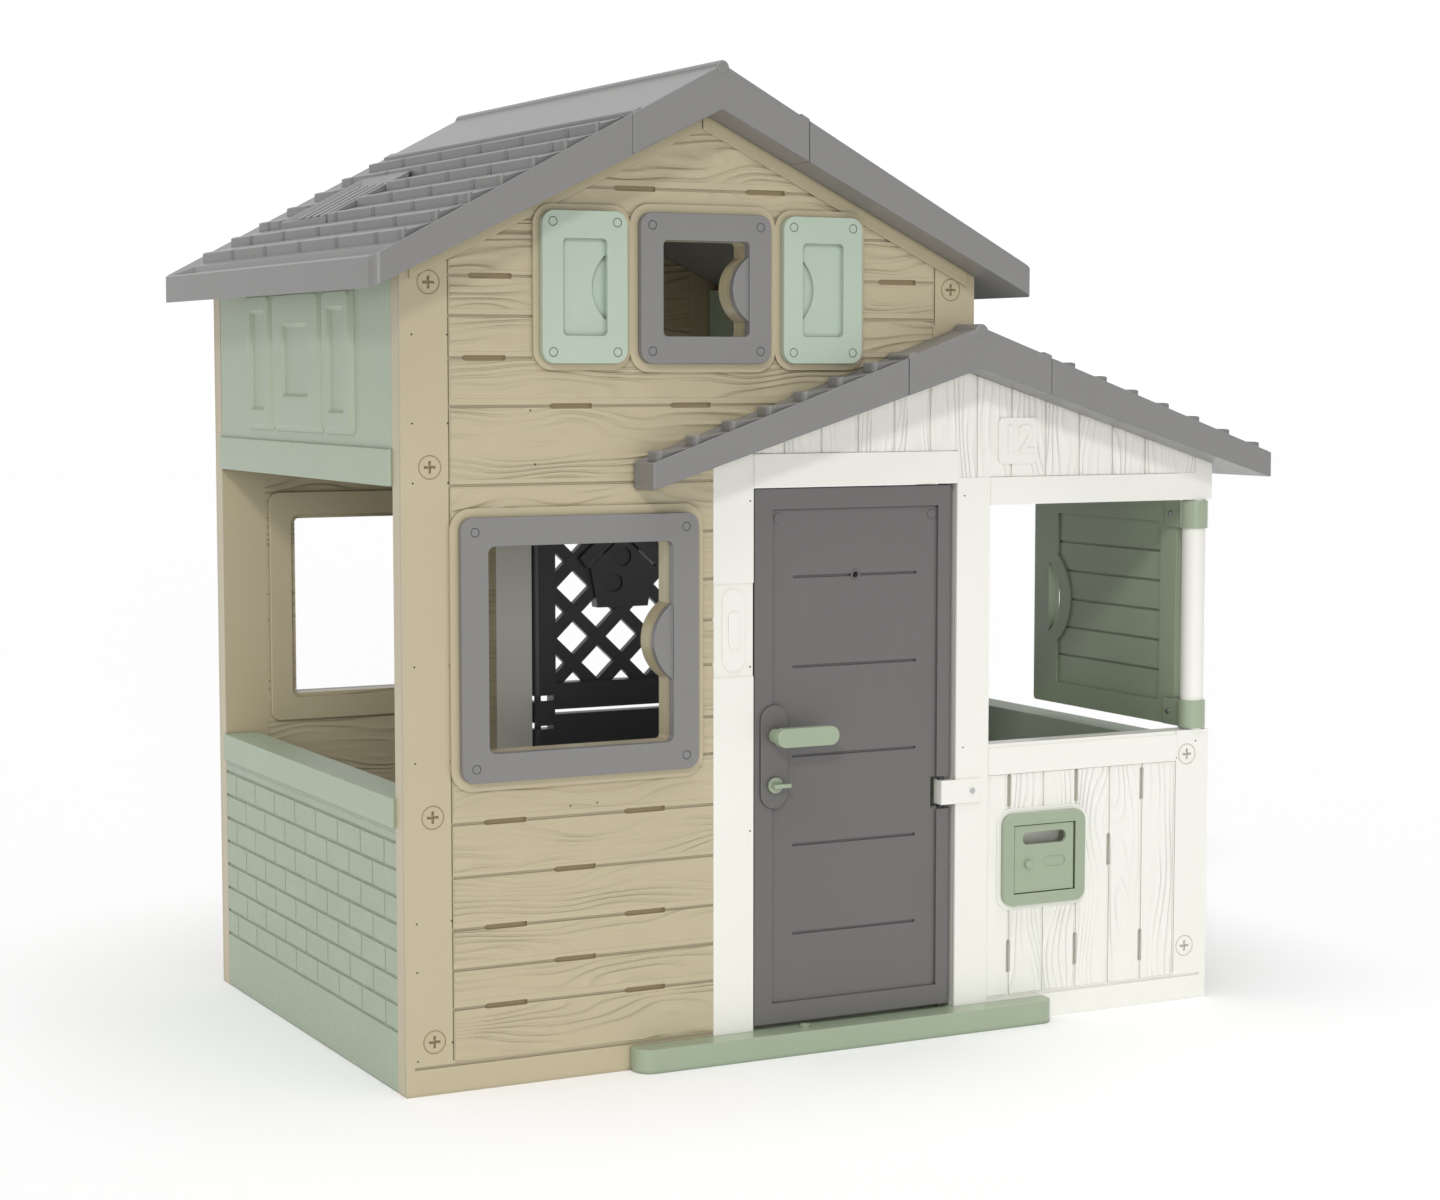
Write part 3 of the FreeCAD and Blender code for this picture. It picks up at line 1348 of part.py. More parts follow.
def shutter_collar(label, low):
    """Ring that turns on the tube, with a tab screwed to the shutter."""
    body = new_body(label)
    outer = s.tube + s.slack + s.collar_wall
    near, far = shutter_y()
    face = tube_x - s.shutter_thick / 2
    tab = s.collar_wall
    add(body, "top", low, s.collar_tall, disc(tube_x, pivot_y, outer))
    add(body, "top", low, s.collar_tall,
        rectangle(face - tab, pivot_y, face, near + s.tab_long))
    add(body, "top", low, s.collar_tall,
        rectangle(face - tab, pivot_y, tube_x, near))
    cut(body, "top", low, s.collar_tall, disc(tube_x, pivot_y, s.tube + s.slack))
    cut(body, "side", face - tab, tab,
        disc(near + s.tab_screw, low + s.collar_tall / 2, s.steel_shank + 0.1))
    return body


def steel_screw(body, view, start, sign, u, w):
    """Pan head outside start, shank inside it; sign is the way the shank points."""
    if sign > 0:
        add(body, view, start - s.steel_tall, s.steel_tall, disc(u, w, s.steel_head))
        add(body, view, start, s.steel_bite, disc(u, w, s.steel_shank))
    else:
        add(body, view, start, s.steel_tall, disc(u, w, s.steel_head))
        add(body, view, start - s.steel_bite, s.steel_bite, disc(u, w, s.steel_shank))


# ---------------------------------------------------------------- letterbox
def flap_edges():
    gap = 1.5
    edge = s.box_border + gap
    return (box_left + edge, s.box_low + edge,
            box_left + s.box_wide - edge, s.box_low + s.box_tall - edge)


def flap_axis():
    left, low, right, high = flap_edges()
    return right - s.flap_thick / 2, -s.box_proud + s.flap_thick / 2 + 2


def letterbox_frame():
    body = new_body("letterbox_frame")
    right, high = box_left + s.box_wide, s.box_low + s.box_tall
    edge = s.box_border
    add(body, "front", -s.box_proud, s.box_proud,
        rounded(box_left, s.box_low, right, high, s.frame_round),
        rectangle(box_left + edge, s.box_low + edge, right - edge, high - edge))
    axis_x, axis_y = flap_axis()
    hole = disc(axis_x, axis_y, s.flap_pin + s.run_fit)
    for base in (s.box_low + edge - s.flap_bite, high - edge):
        cut(body, "top", base, s.flap_bite, hole)
    return body


def letterbox_door():
    body = new_body("letterbox_door")
    left, low, right, high = flap_edges()
    axis_x, axis_y = flap_axis()
    half = s.flap_thick / 2
    add(body, "top", low, high - low, rectangle(left, axis_y - half, axis_x, axis_y + half))
    add(body, "top", low, high - low, disc(axis_x, axis_y, half))
    reach = s.flap_bite
    add(body, "top", low - reach, high - low + reach * 2, disc(axis_x, axis_y, s.flap_pin))
    mid_x = (left + right) / 2
    cut(body, "front", axis_y - half, s.flap_thick,
        pill(mid_x - s.letter_wide / 2, high - s.letter_down - s.letter_tall,
             mid_x + s.letter_wide / 2, high - s.letter_down))
    cut(body, "front", axis_y - half, s.name_sink,
        pill(mid_x - 2, high - s.name_down - s.name_tall, mid_x + 46, high - s.name_down))
    add(body, "front", axis_y - half - s.knob_out, s.knob_out,
        disc(left + s.knob_in, high - s.knob_down, s.knob))
    return body


# ---------------------------------------------------------------- the assembly
depth_all = s.deep + s.eave_fore * 2
zero = as_size(0)
nodes = [
    lower_panel("front_lower_panel", "front"),
    lower_panel("rear_lower_panel", "rear"),
    upper_panel("front_upper_panel", "front"),
    upper_panel("rear_upper_panel", "rear"),
    door_frame("front_door_frame", "front", front_pivot_x),
    door_frame("rear_door_frame", "rear", rear_pivot_x),
    annexe_panel("annexe_front_panel", "front"),
    annexe_panel("annexe_rear_panel", "rear"),
    low_wall("left_low_wall", zero, s.side_wall, -1),
    low_wall("annexe_low_wall", s.long - s.side_wall, s.long, 1),
    side_fascia("left_fascia_panel", zero, -1, True),
    side_fascia("right_fascia_panel", house - s.wall, 1, False),
]
for name, way in (("left", -1), ("right", 1)):
    nodes.append(roof_half("main_roof_" + name, mid, way, s.cap_half, main_run,
                           -s.eave_fore, depth_all, main_under, main_over, 7))
nodes.append(ridge_cap("main_ridge_cap", mid, s.cap_half, -s.eave_fore, depth_all,
                       (main_under, main_over), (main_under, main_over)))
nodes.append(roof_half("annexe_roof", ridge_x, 1, s.low_cap_half, annexe_run,
                       -s.eave_fore, depth_all, annexe_under, annexe_over, 7))
nodes.append(roof_half("annexe_ridge_infill", ridge_x, 1, s.past_ridge, s.low_cap_half,
                       zero, s.deep, annexe_under, annexe_over, 2))
for name, y0 in (("front", -s.eave_fore), ("rear", s.deep)):
    nodes.append(ridge_cap("annexe_ridge_cap_" + name, ridge_x, s.low_cap_half, y0,
                           s.eave_fore, (porch_under, porch_over),
                           (annexe_under, annexe_over)))
    nodes.append(roof_half("porch_roof_" + name, ridge_x, -1, s.low_cap_half, porch_run,
                           y0, s.eave_fore, porch_under, porch_over, 7))
nodes += [
    window_frame("front_window_frame", "front"),
    window_frame("rear_window_frame", "rear"),
    gable_frame("gable_window_frame"),
    gable_shutter("gable_shutter_left", -1),
    gable_shutter("gable_shutter_right", 1),
    pins("frame_pins", (("front", big_pegs() + gable_pegs()), ("rear", big_pegs()))),
    pins("gable_shutter_pins", (("front", leaf_pegs()),)),
]
tan_front = [(s.screw_in, z) for z in lower_screws]
tan_front += [(s.screw_in, upper_screw), (house - s.screw_in, upper_screw)]
white_front = [(s.long - s.screw_in, z) for z in annexe_screws]
nodes += [
    plastic_screws("tan_screws", (("front", tan_front), ("rear", tan_front))),
    plastic_screws("white_screws", (("front", white_front), ("rear", white_front))),
    front_door(),
    pivot_pins("front_door_pins", "front", front_pivot_x, (foot_pin_span(), top_pin_span())),
    hinge_clip("front_hinge_clip", "front", front_pivot_x, 1, s.notch_mid),
    handle_plate(),
    door_handle(),
    door_key(),
    rear_lower_door(),
    pivot_pins("rear_lower_pin", "rear", rear_pivot_x, (foot_pin_span(),)),
    rear_upper_door(),
    pivot_pins("rear_upper_pin", "rear", rear_pivot_x, (top_pin_span(),)),
    hinge_clip("rear_hinge_clip", "rear", rear_pivot_x, -1, s.split),
    threshold("front_threshold", "front", front_pivot_x, 1),
    threshold("rear_threshold", "rear", rear_pivot_x, -1),
    corner_tube("corner_tube_front", "front"),
    corner_tube("corner_tube_rear", "rear"),
    side_shutter(),
    shutter_collar("shutter_collar_low", collar_lows()[0]),
    shutter_collar("shutter_collar_high", collar_lows()[1]),
    letterbox_frame(),
    letterbox_door(),
]
clip_screws = new_body("clip_screws")
steel_screw(clip_screws, "front", -s.clip_strap, 1, *clip_screw_place("front"))
steel_screw(clip_screws, "front", s.deep + s.clip_strap, -1, *clip_screw_place("rear"))
nodes.append(clip_screws)
collar_screws = new_body("collar_screws")
for z in collar_lows():
    steel_screw(collar_screws, "side", tube_x - s.shutter_thick / 2 - s.collar_wall, 1,
                shutter_y()[0] + s.tab_screw, z + s.collar_tall / 2)
nodes.append(collar_screws)

doc.recompute()

# ---------------------------------------------------------------- checks and files
for item in doc.Objects:
    if "Invalid" in item.State or "Error" in item.State:
        raise RuntimeError("%s failed: %s" % (item.Name, item.State))
for node in nodes:
    if node.Shape.isNull() or not node.Shape.isValid():
        raise RuntimeError("%s has no valid shape" % node.Label)
os.makedirs("parts", exist_ok=True)
for node in nodes:
    node.Shape.exportStep(os.path.join("parts", node.Label + ".step"))
print("wrote", len(nodes), "parts")
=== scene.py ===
# %% [markdown]
# # A plastic playhouse, dressed for its portrait
# The house is blow moulded and injection moulded plastic: tan board walls, a white plank
# annexe, a grey tiled roof, and small fittings in sage green.  Its engineering model is
# loaded first and stays as the frame, so every piece below takes its place from it.

# %% Load the frame
import json
import math
import bpy
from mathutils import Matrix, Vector

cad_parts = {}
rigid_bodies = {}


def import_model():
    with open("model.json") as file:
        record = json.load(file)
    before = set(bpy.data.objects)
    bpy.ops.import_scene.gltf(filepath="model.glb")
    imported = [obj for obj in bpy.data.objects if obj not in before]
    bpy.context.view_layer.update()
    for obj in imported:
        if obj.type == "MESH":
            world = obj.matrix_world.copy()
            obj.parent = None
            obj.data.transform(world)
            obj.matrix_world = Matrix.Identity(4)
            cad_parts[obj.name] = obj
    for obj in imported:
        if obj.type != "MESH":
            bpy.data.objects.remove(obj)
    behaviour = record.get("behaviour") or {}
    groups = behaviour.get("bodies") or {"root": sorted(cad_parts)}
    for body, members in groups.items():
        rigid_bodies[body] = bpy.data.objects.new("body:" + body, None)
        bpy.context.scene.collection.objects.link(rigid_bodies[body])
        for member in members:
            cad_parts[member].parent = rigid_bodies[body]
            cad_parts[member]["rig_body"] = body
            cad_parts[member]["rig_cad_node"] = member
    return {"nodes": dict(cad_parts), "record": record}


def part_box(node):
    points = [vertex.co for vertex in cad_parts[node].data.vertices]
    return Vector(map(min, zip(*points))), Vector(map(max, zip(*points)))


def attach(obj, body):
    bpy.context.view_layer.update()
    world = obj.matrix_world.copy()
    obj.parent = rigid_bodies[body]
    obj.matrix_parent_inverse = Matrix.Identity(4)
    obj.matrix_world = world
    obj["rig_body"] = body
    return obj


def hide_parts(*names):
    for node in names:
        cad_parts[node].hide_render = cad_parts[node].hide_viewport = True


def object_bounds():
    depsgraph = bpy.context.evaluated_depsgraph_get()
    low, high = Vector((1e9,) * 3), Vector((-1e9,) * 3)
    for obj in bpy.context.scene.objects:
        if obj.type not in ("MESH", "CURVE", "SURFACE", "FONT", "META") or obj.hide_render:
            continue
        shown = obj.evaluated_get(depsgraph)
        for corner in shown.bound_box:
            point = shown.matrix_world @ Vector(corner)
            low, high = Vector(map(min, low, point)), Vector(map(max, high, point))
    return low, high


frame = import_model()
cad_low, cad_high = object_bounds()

print("frame from", [round(n, 3) for n in cad_low], "to", [round(n, 3) for n in cad_high])

# %% [markdown]
# A builder measures a house from one corner.  `spot` does that: x runs east along the
# front, y runs back from the front wall and z runs up, all in millimetres.  The roof stands
# out past the walls, so the corner is found from the overhang.

# %% Measure from the front west corner
EAVE_PAST_WALL, RAKE_PAST_WALL = 0.076, 0.078
WEST = cad_low.x + EAVE_PAST_WALL
FRONT = cad_low.y + RAKE_PAST_WALL
BACK = cad_high.y - RAKE_PAST_WALL


def spot(x, y, z):
    return Vector((WEST + x / 1000, FRONT + y / 1000, z / 1000))


print("front wall at y", round(FRONT, 3), "west wall at x", round(WEST, 3))

# %% [markdown]
# Operators work on whatever is selected, so each step starts by picking one object alone.

# %% Pick one object
def pick(obj):
    if bpy.context.mode != "OBJECT":
        bpy.ops.object.mode_set(mode="OBJECT")
    bpy.ops.object.select_all(action="DESELECT")
    obj.select_set(True)
    bpy.context.view_layer.objects.active = obj
    return obj


def edit(obj, kind="VERT"):
    """Open one object in edit mode with nothing selected."""
    pick(obj)
    bpy.ops.object.mode_set(mode="EDIT")
    bpy.ops.mesh.select_mode(type=kind)
    bpy.ops.mesh.select_all(action="DESELECT")


def choose(obj, part, test):
    """Select the vertices, edges or faces that pass a test on their middle point."""
    bpy.ops.mesh.select_mode(type={"vertices": "VERT", "edges": "EDGE", "polygons": "FACE"}[part])
    bpy.ops.object.mode_set(mode="OBJECT")
    mesh = obj.data
    for group in (mesh.vertices, mesh.edges, mesh.polygons):
        for item in group:
            item.select = False
    for item in getattr(mesh, part):
        if part == "vertices":
            middle = item.co
        elif part == "edges":
            middle = (mesh.vertices[item.vertices[0]].co + mesh.vertices[item.vertices[1]].co) / 2
        else:
            middle = item.center
        item.select = bool(test(item, middle))
    bpy.ops.object.mode_set(mode="EDIT")


# %% [markdown]
# Moulded plastic has no sharp edge anywhere: the tool's corners are rounded so that the
# part fills and comes out.  A bevel on every edge above an angle gives that, and normals
# weighted by face area keep the flats flat while the roundings shine.

# %% Round the edges
def apply_all(obj):
    pick(obj)
    for modifier in list(obj.modifiers):
        bpy.ops.object.modifier_apply(modifier=modifier.name)


SHARP = math.radians(35)
SMOOTH = math.radians(50)
FINE_BEVEL = 0.9


def round_edges(obj, width, segments=2, small=None):
    """Bevel the sharp edges; those that pass the test small get a fine bevel instead."""
    pick(obj)
    if small is not None:
        mesh = obj.data
        keys = {key: i for i, key in enumerate(mesh.edge_keys)}
        beside = {}
        for face in mesh.polygons:
            for key in face.edge_keys:
                beside.setdefault(keys[key], []).append(face.normal)
        weight = mesh.attributes.new("bevel_weight_edge", "FLOAT", "EDGE")
        for i, edge in enumerate(mesh.edges):
            normals = beside.get(i, [])
            if len(normals) == 2 and normals[0].angle(normals[1]) > SHARP:
                middle = (mesh.vertices[edge.vertices[0]].co
                          + mesh.vertices[edge.vertices[1]].co) / 2
                weight.data[i].value = FINE_BEVEL / width if small(middle) else 1.0
    bevel = obj.modifiers.new("round", "BEVEL")
    bevel.width = width / 1000
    bevel.segments = segments
    bevel.limit_method = "ANGLE" if small is None else "WEIGHT"
    bevel.angle_limit = SHARP
    apply_all(obj)
    bpy.ops.object.shade_smooth_by_angle(angle=SMOOTH)
    weigh = obj.modifiers.new("weigh", "WEIGHTED_NORMAL")
    weigh.keep_sharp = True
    apply_all(obj)
    return obj


def settle(obj):
    """Put the object at the origin, with its place in its mesh."""
    pick(obj)
    bpy.ops.object.transform_apply(location=True, rotation=True, scale=True)
    return obj


# %% [markdown]
# Most mouldings already have their true shape in the frame.  A copy of such a part is
# cleaned first: loose triangles are merged and flat areas dissolved, so that only the real
# edges are left for the bevel.  The copy then stands in for the part it was taken from.

# %% Copy a moulding from the frame
MERGE = 0.00001
FLAT = math.radians(0.6)


def moulding(node, width, segments=2, small=None):
    source = frame["nodes"][node]
    piece = source.copy()
    piece.data = source.data.copy()
    piece.name = node + "_moulded"
    piece.parent = None
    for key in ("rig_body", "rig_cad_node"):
        del piece[key]
    bpy.context.scene.collection.objects.link(piece)
    edit(piece)
    bpy.ops.mesh.select_all(action="SELECT")
    bpy.ops.mesh.customdata_custom_splitnormals_clear()
    bpy.ops.mesh.remove_doubles(threshold=MERGE)
    bpy.ops.mesh.dissolve_limited(angle_limit=FLAT)
    bpy.ops.mesh.mark_sharp(clear=True)
    round_edges(piece, width, segments, small=small)
    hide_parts(node)
    return piece


# %% [markdown]
# ## Materials
# Every finish is built from small node groups.  These helpers add one node each and wire
# it; `new_group` makes an empty group with named sockets, and `linear` turns a colour as a
# screen shows it into the light that the shader wants.

# %% Node helpers
def add_node(tree, kind, **settings):
    node = tree.nodes.new(kind)
    for name, value in settings.items():
        setattr(node, name, value)
    return node


def maths(tree, operation, a, b=None, c=None):
    node = add_node(tree, "ShaderNodeMath", operation=operation)
    for socket, value in zip(node.inputs, (a, b, c)):
        if value is None:
            continue
        if isinstance(value, (int, float)):
            socket.default_value = value
        else:
            tree.links.new(value, socket)
    return node.outputs[0]


def noise(tree, vector, scale, detail=2.0, rough=0.5):
    node = add_node(tree, "ShaderNodeTexNoise")
    tree.links.new(vector, node.inputs["Vector"])
    node.inputs["Scale"].default_value = scale
    node.inputs["Detail"].default_value = detail
    node.inputs["Roughness"].default_value = rough
    return node.outputs["Fac"]


def remap(tree, value, a, b, low=0.0, high=1.0):
    node = add_node(tree, "ShaderNodeMapRange", interpolation_type="SMOOTHSTEP")
    tree.links.new(value, node.inputs["Value"])
    for name, number in (("From Min", a), ("From Max", b), ("To Min", low), ("To Max", high)):
        node.inputs[name].default_value = number
    return node.outputs["Result"]


def new_group(name, ins, outs):
    group = bpy.data.node_groups.new(name, "ShaderNodeTree")
    for label, kind, value in ins:
        socket = group.interface.new_socket(label, in_out="INPUT", socket_type=kind)
        if value is not None:
            socket.default_value = value
    for label, kind in outs:
        group.interface.new_socket(label, in_out="OUTPUT", socket_type=kind)
    return group, group.nodes.new("NodeGroupInput"), group.nodes.new("NodeGroupOutput")


FLOAT, COLOUR = "NodeSocketFloat", "NodeSocketColor"


def linear(red, green, blue):
    """A screen colour from 0 to 255 as the light it stands for."""
    return tuple(((c / 255 + 0.055) / 1.055) ** 2.4 if c > 10 else c / 3294.6
                 for c in (red, green, blue)) + (1.0,)


# %% [markdown]
# The real skin of a moulding is a fine stipple, etched into the tool so that scratches and
# fingerprints don't show.  Its gloss drifts a little over a hand's width, where the plastic
# cooled faster or slower, and the colour drifts with it.

# %% Moulded skin group
skin, skin_in, skin_out = new_group(
    "moulded_skin",
    [("Colour", COLOUR, (0.5, 0.5, 0.5, 1)), ("Roughness", FLOAT, 0.4),
     ("Stipple", FLOAT, 0.5), ("Drift", FLOAT, 0.5)],
    [("Colour", COLOUR), ("Roughness", FLOAT), ("Height", FLOAT)])
place = add_node(skin, "ShaderNodeTexCoord").outputs["Object"]
fine = noise(skin, place, 900, 2)
cloud = noise(skin, place, 5, 3)
streak = noise(skin, place, 42, 4, 0.6)
CLOUD_AMOUNT, STREAK_AMOUNT = 0.16, 0.07
wide = maths(skin, "MULTIPLY", maths(skin, "SUBTRACT", cloud, 0.5), CLOUD_AMOUNT)
narrow = maths(skin, "MULTIPLY", maths(skin, "SUBTRACT", streak, 0.5), STREAK_AMOUNT)
drift = maths(skin, "ADD", wide, narrow)
drift = maths(skin, "MULTIPLY", drift, skin_in.outputs["Drift"])
tint = add_node(skin, "ShaderNodeVectorMath", operation="SCALE")
skin.links.new(skin_in.outputs["Colour"], tint.inputs[0])
skin.links.new(maths(skin, "ADD", 1.0, drift), tint.inputs["Scale"])
skin.links.new(tint.outputs[0], skin_out.inputs["Colour"])
gloss = maths(skin, "ADD", skin_in.outputs["Roughness"], narrow)
skin.links.new(gloss, skin_out.inputs["Roughness"])
skin.links.new(maths(skin, "MULTIPLY", fine, skin_in.outputs["Stipple"]),
               skin_out.inputs["Height"])
print("made", skin.name)

# %% [markdown]
# Edges are where hands, boxes and other parts rub, so they are a touch smoother; they are
# paler partly from that wear and partly as a painted highlight along the roundings.
# A bevel node reads a rounded normal; where it leaves the true normal there is an edge.

# %% Rubbed edge and painted highlight group
rub_and_highlight, rub_and_highlight_in, rub_and_highlight_out = new_group("rubbed_and_highlit_edge", [("Reach", FLOAT, 0.004)], [("Mask", FLOAT)])
turned = add_node(rub_and_highlight, "ShaderNodeBevel", samples=3)
rub_and_highlight.links.new(rub_and_highlight_in.outputs["Reach"], turned.inputs["Radius"])
flat = add_node(rub_and_highlight, "ShaderNodeNewGeometry")
facing = add_node(rub_and_highlight, "ShaderNodeVectorMath", operation="DOT_PRODUCT")
rub_and_highlight.links.new(turned.outputs[0], facing.inputs[0])
rub_and_highlight.links.new(flat.outputs["Normal"], facing.inputs[1])
edge = remap(rub_and_highlight, maths(rub_and_highlight, "SUBTRACT", 1.0, facing.outputs["Value"]), 0.04, 0.3)
patchy = remap(rub_and_highlight, noise(rub_and_highlight, add_node(rub_and_highlight, "ShaderNodeTexCoord").outputs["Object"], 30, 3),
               0.35, 0.65)
rub_and_highlight.links.new(maths(rub_and_highlight, "MULTIPLY", edge, patchy), rub_and_highlight_out.inputs["Mask"])
print("made", rub_and_highlight.name)

# %% [markdown]
# Grooves and joints are given painted shade, so they read darker than the flats.  The
# ambient occlusion node measures how closed in a point is within a short reach.

# %% Hollow shade group
hollow, hollow_in, hollow_out = new_group("hollow_shade", [("Reach", FLOAT, 0.009)],
                                          [("Mask", FLOAT)])
closed = add_node(hollow, "ShaderNodeAmbientOcclusion", samples=4)
hollow.links.new(hollow_in.outputs["Reach"], closed.inputs["Distance"])
hollow.links.new(remap(hollow, closed.outputs["AO"], 0.25, 0.92, 1.0, 0.0),
                 hollow_out.inputs["Mask"])
print("made", hollow.name)

# %% [markdown]
# The wood look is relief, not print: the boards are one colour, and raised fibres catch the
# light.  Lines of equal height through a stretched noise flow, part and close round knots
# just as wood grain does, so the group draws those lines.  It takes a distance along the
# board, a distance across it, and an offset that differs from board to board.

# %% Wood relief group
wood, wood_in, wood_out = new_group(
    "wood_relief", [("Along", FLOAT, 0), ("Across", FLOAT, 0), ("Offset", FLOAT, 0)],
    [("Height", FLOAT)])


def stretched(along, across):
    """A place on the board, scaled differently along the grain and across it."""
    where = add_node(wood, "ShaderNodeCombineXYZ")
    wood.links.new(maths(wood, "MULTIPLY", wood_in.outputs["Along"], along), where.inputs[0])
    wood.links.new(maths(wood, "MULTIPLY", wood_in.outputs["Across"], across), where.inputs[1])
    wood.links.new(wood_in.outputs["Offset"], where.inputs[2])
    return where.outputs[0]


LINES_PER_METRE, WANDER = 55, 9.0
field = noise(wood, stretched(3.4, 13.0), 1.0, 1.2, 0.4)
phase = maths(wood, "ADD", maths(wood, "MULTIPLY", wood_in.outputs["Across"], LINES_PER_METRE),
              maths(wood, "MULTIPLY", field, WANDER))
wave = maths(wood, "SINE", maths(wood, "MULTIPLY", phase, 2 * math.pi))
crest = maths(wood, "POWER", maths(wood, "MULTIPLY_ADD", wave, 0.5, 0.5), 2.4)
strength = remap(wood, noise(wood, stretched(5.0, 16.0), 1.0, 1.0), 0.3, 0.62, 0.25, 1.0)
fibre = noise(wood, stretched(34.0, 420.0), 1.0, 2.0)
height = maths(wood, "ADD", maths(wood, "MULTIPLY", crest, strength),
               maths(wood, "MULTIPLY", fibre, 0.16))
wood.links.new(height, wood_out.inputs["Height"])
print("made", wood.name)


# %% [markdown]
# A finish puts the groups together: colour, gloss, stipple and rubbed edges on one
# Principled shader, with room for a coarser relief such as wood or brick.  Rubbed edges
# are mixed in smoother, and paler from wear and a painted highlight; hollows are darker
# with painted shade; the slot colour is a painted shade at the bottom of the slots that
# are moulded into the walls.

# %% Make a finish
# the depths of the slot floors, which get a painted shade colour
SLOT_FLOOR = (BACK - 0.0078, BACK - 0.0058)
SLOT_SHADE_STRENGTH = 0.75
EDGE_GLOSS = 0.1
STIPPLE_DEPTH = 0.0001


def finish(name, colour, rough, stipple=0.5, drift=0.6, relief=None, coat=0.0,
           relief_depth=0.001, edge=0.22, specular=0.5, painted_shade=0.75, slot_shade=None):
    material = bpy.data.materials.new(name)
    material.use_nodes = True
    tree = material.node_tree
    shader = tree.nodes["Principled BSDF"]
    shader.inputs["Specular IOR Level"].default_value = specular
    shader.inputs["Coat Weight"].default_value = coat
    shader.inputs["Coat Roughness"].default_value = 0.12
    surface = add_node(tree, "ShaderNodeGroup", node_tree=skin)
    surface.inputs["Colour"].default_value = colour
    surface.inputs["Roughness"].default_value = rough
    surface.inputs["Stipple"].default_value = stipple
    surface.inputs["Drift"].default_value = drift
    rubbed_and_highlit = add_node(tree, "ShaderNodeGroup", node_tree=rub_and_highlight)
    # rubbed edges are mixed paler: partly wear, partly a painted highlight
    paler = add_node(tree, "ShaderNodeMix", data_type="RGBA")
    tree.links.new(maths(tree, "MULTIPLY", rubbed_and_highlit.outputs["Mask"], edge), paler.inputs[0])
    tree.links.new(surface.outputs["Colour"], paler.inputs[6])
    paler.inputs[7].default_value = tuple(min(1, c * 1.25 + 0.05) for c in colour[:3]) + (1,)
    # hollows are mixed towards a deep tone of the colour: painted shade
    shaded = add_node(tree, "ShaderNodeGroup", node_tree=hollow)
    darker = add_node(tree, "ShaderNodeMix", data_type="RGBA")
    tree.links.new(maths(tree, "MULTIPLY", shaded.outputs["Mask"], painted_shade), darker.inputs[0])
    tree.links.new(paler.outputs[2], darker.inputs[6])
    darker.inputs[7].default_value = tuple(c ** 1.25 * 0.2 for c in colour[:3]) + (1,)
    painted = darker.outputs[2]
    # the floor of each slot is mixed towards a painted shade colour
    if slot_shade is not None:
        depth = maths(tree, "ABSOLUTE", coordinates(tree)[1])
        floor_of_slot = between(tree, depth, *SLOT_FLOOR)
        shadow = add_node(tree, "ShaderNodeMix", data_type="RGBA")
        tree.links.new(maths(tree, "MULTIPLY", floor_of_slot, SLOT_SHADE_STRENGTH), shadow.inputs[0])
        tree.links.new(painted, shadow.inputs[6])
        shadow.inputs[7].default_value = slot_shade
        painted = shadow.outputs[2]
    tree.links.new(painted, shader.inputs["Base Color"])
    smoother = maths(tree, "MULTIPLY", rubbed_and_highlit.outputs["Mask"], EDGE_GLOSS)
    tree.links.new(maths(tree, "SUBTRACT", surface.outputs["Roughness"], smoother),
                   shader.inputs["Roughness"])
    bump = add_node(tree, "ShaderNodeBump")
    bump.inputs["Strength"].default_value = 1.0
    bump.inputs["Distance"].default_value = STIPPLE_DEPTH
    tree.links.new(surface.outputs["Height"], bump.inputs["Height"])
    if relief is not None:
        coarse = add_node(tree, "ShaderNodeBump")
        coarse.inputs["Strength"].default_value = 1.0
        coarse.inputs["Distance"].default_value = relief_depth
        tree.links.new(relief(tree), coarse.inputs["Height"])
        tree.links.new(coarse.outputs[0], bump.inputs["Normal"])
    tree.links.new(bump.outputs[0], shader.inputs["Normal"])
    return material


# %% [markdown]
# Grain belongs on the boards and planks alone, not on corner strips, bands or frames.  So
# the relief is masked by where a point lies: between two heights, between two distances
# along the front, and on the outer or the inner face of a wall.

# %% Where the grain goes
def coordinates(tree):
    split = add_node(tree, "ShaderNodeSeparateXYZ")
    tree.links.new(add_node(tree, "ShaderNodeTexCoord").outputs["Object"], split.inputs[0])
    return split.outputs


SOFT = 0.0004


def between(tree, value, low, high):
    above = remap(tree, value, low - SOFT, low + SOFT)
    below = remap(tree, value, high - SOFT, high + SOFT, 1.0, 0.0)
    return maths(tree, "MULTIPLY", above, below)


WALL = 0.040


def on_wall_face(tree, y):
    depth = maths(tree, "ABSOLUTE", y)
    outer = between(tree, depth, BACK - 0.0015, BACK + 0.0012)
    inner = between(tree, depth, BACK - WALL - 0.0015, BACK - WALL + 0.0015)
    return maths(tree, "ADD", outer, inner)


# the heights of the joints between the boards
LOWER_BOARDS = (50, 141, 207, 275, 363, 453, 542, 607, 698, 776, 847, 930, 1017)
UPPER_BOARDS = (1147, 1227, 1296, 1362, 1435, 1512)
# a colour ramp reads from 0 to 1, so heights are divided by one that nothing passes
RAMP_TOP = 1.8
JOINT_HALF = 7
BOARD_STEP = 0.381


def board_number(tree, z):
    """A different number for each board, from its height."""
    ramp = add_node(tree, "ShaderNodeValToRGB")
    ramp.color_ramp.interpolation = "CONSTANT"
    tree.links.new(maths(tree, "DIVIDE", z, RAMP_TOP), ramp.inputs[0])
    stops = ramp.color_ramp.elements
    while len(stops) > 1:
        stops.remove(stops[0])
    stops[0].position = 0
    stops[0].color = (0.5, 0.5, 0.5, 1)
    for i, level in enumerate(LOWER_BOARDS + UPPER_BOARDS):
        stop = stops.new(level / 1000 / RAMP_TOP)
        grey = (i * BOARD_STEP) % 1.0
        stop.color = (grey, grey, grey, 1)
    return maths(tree, "MULTIPLY", ramp.outputs[0], 40)


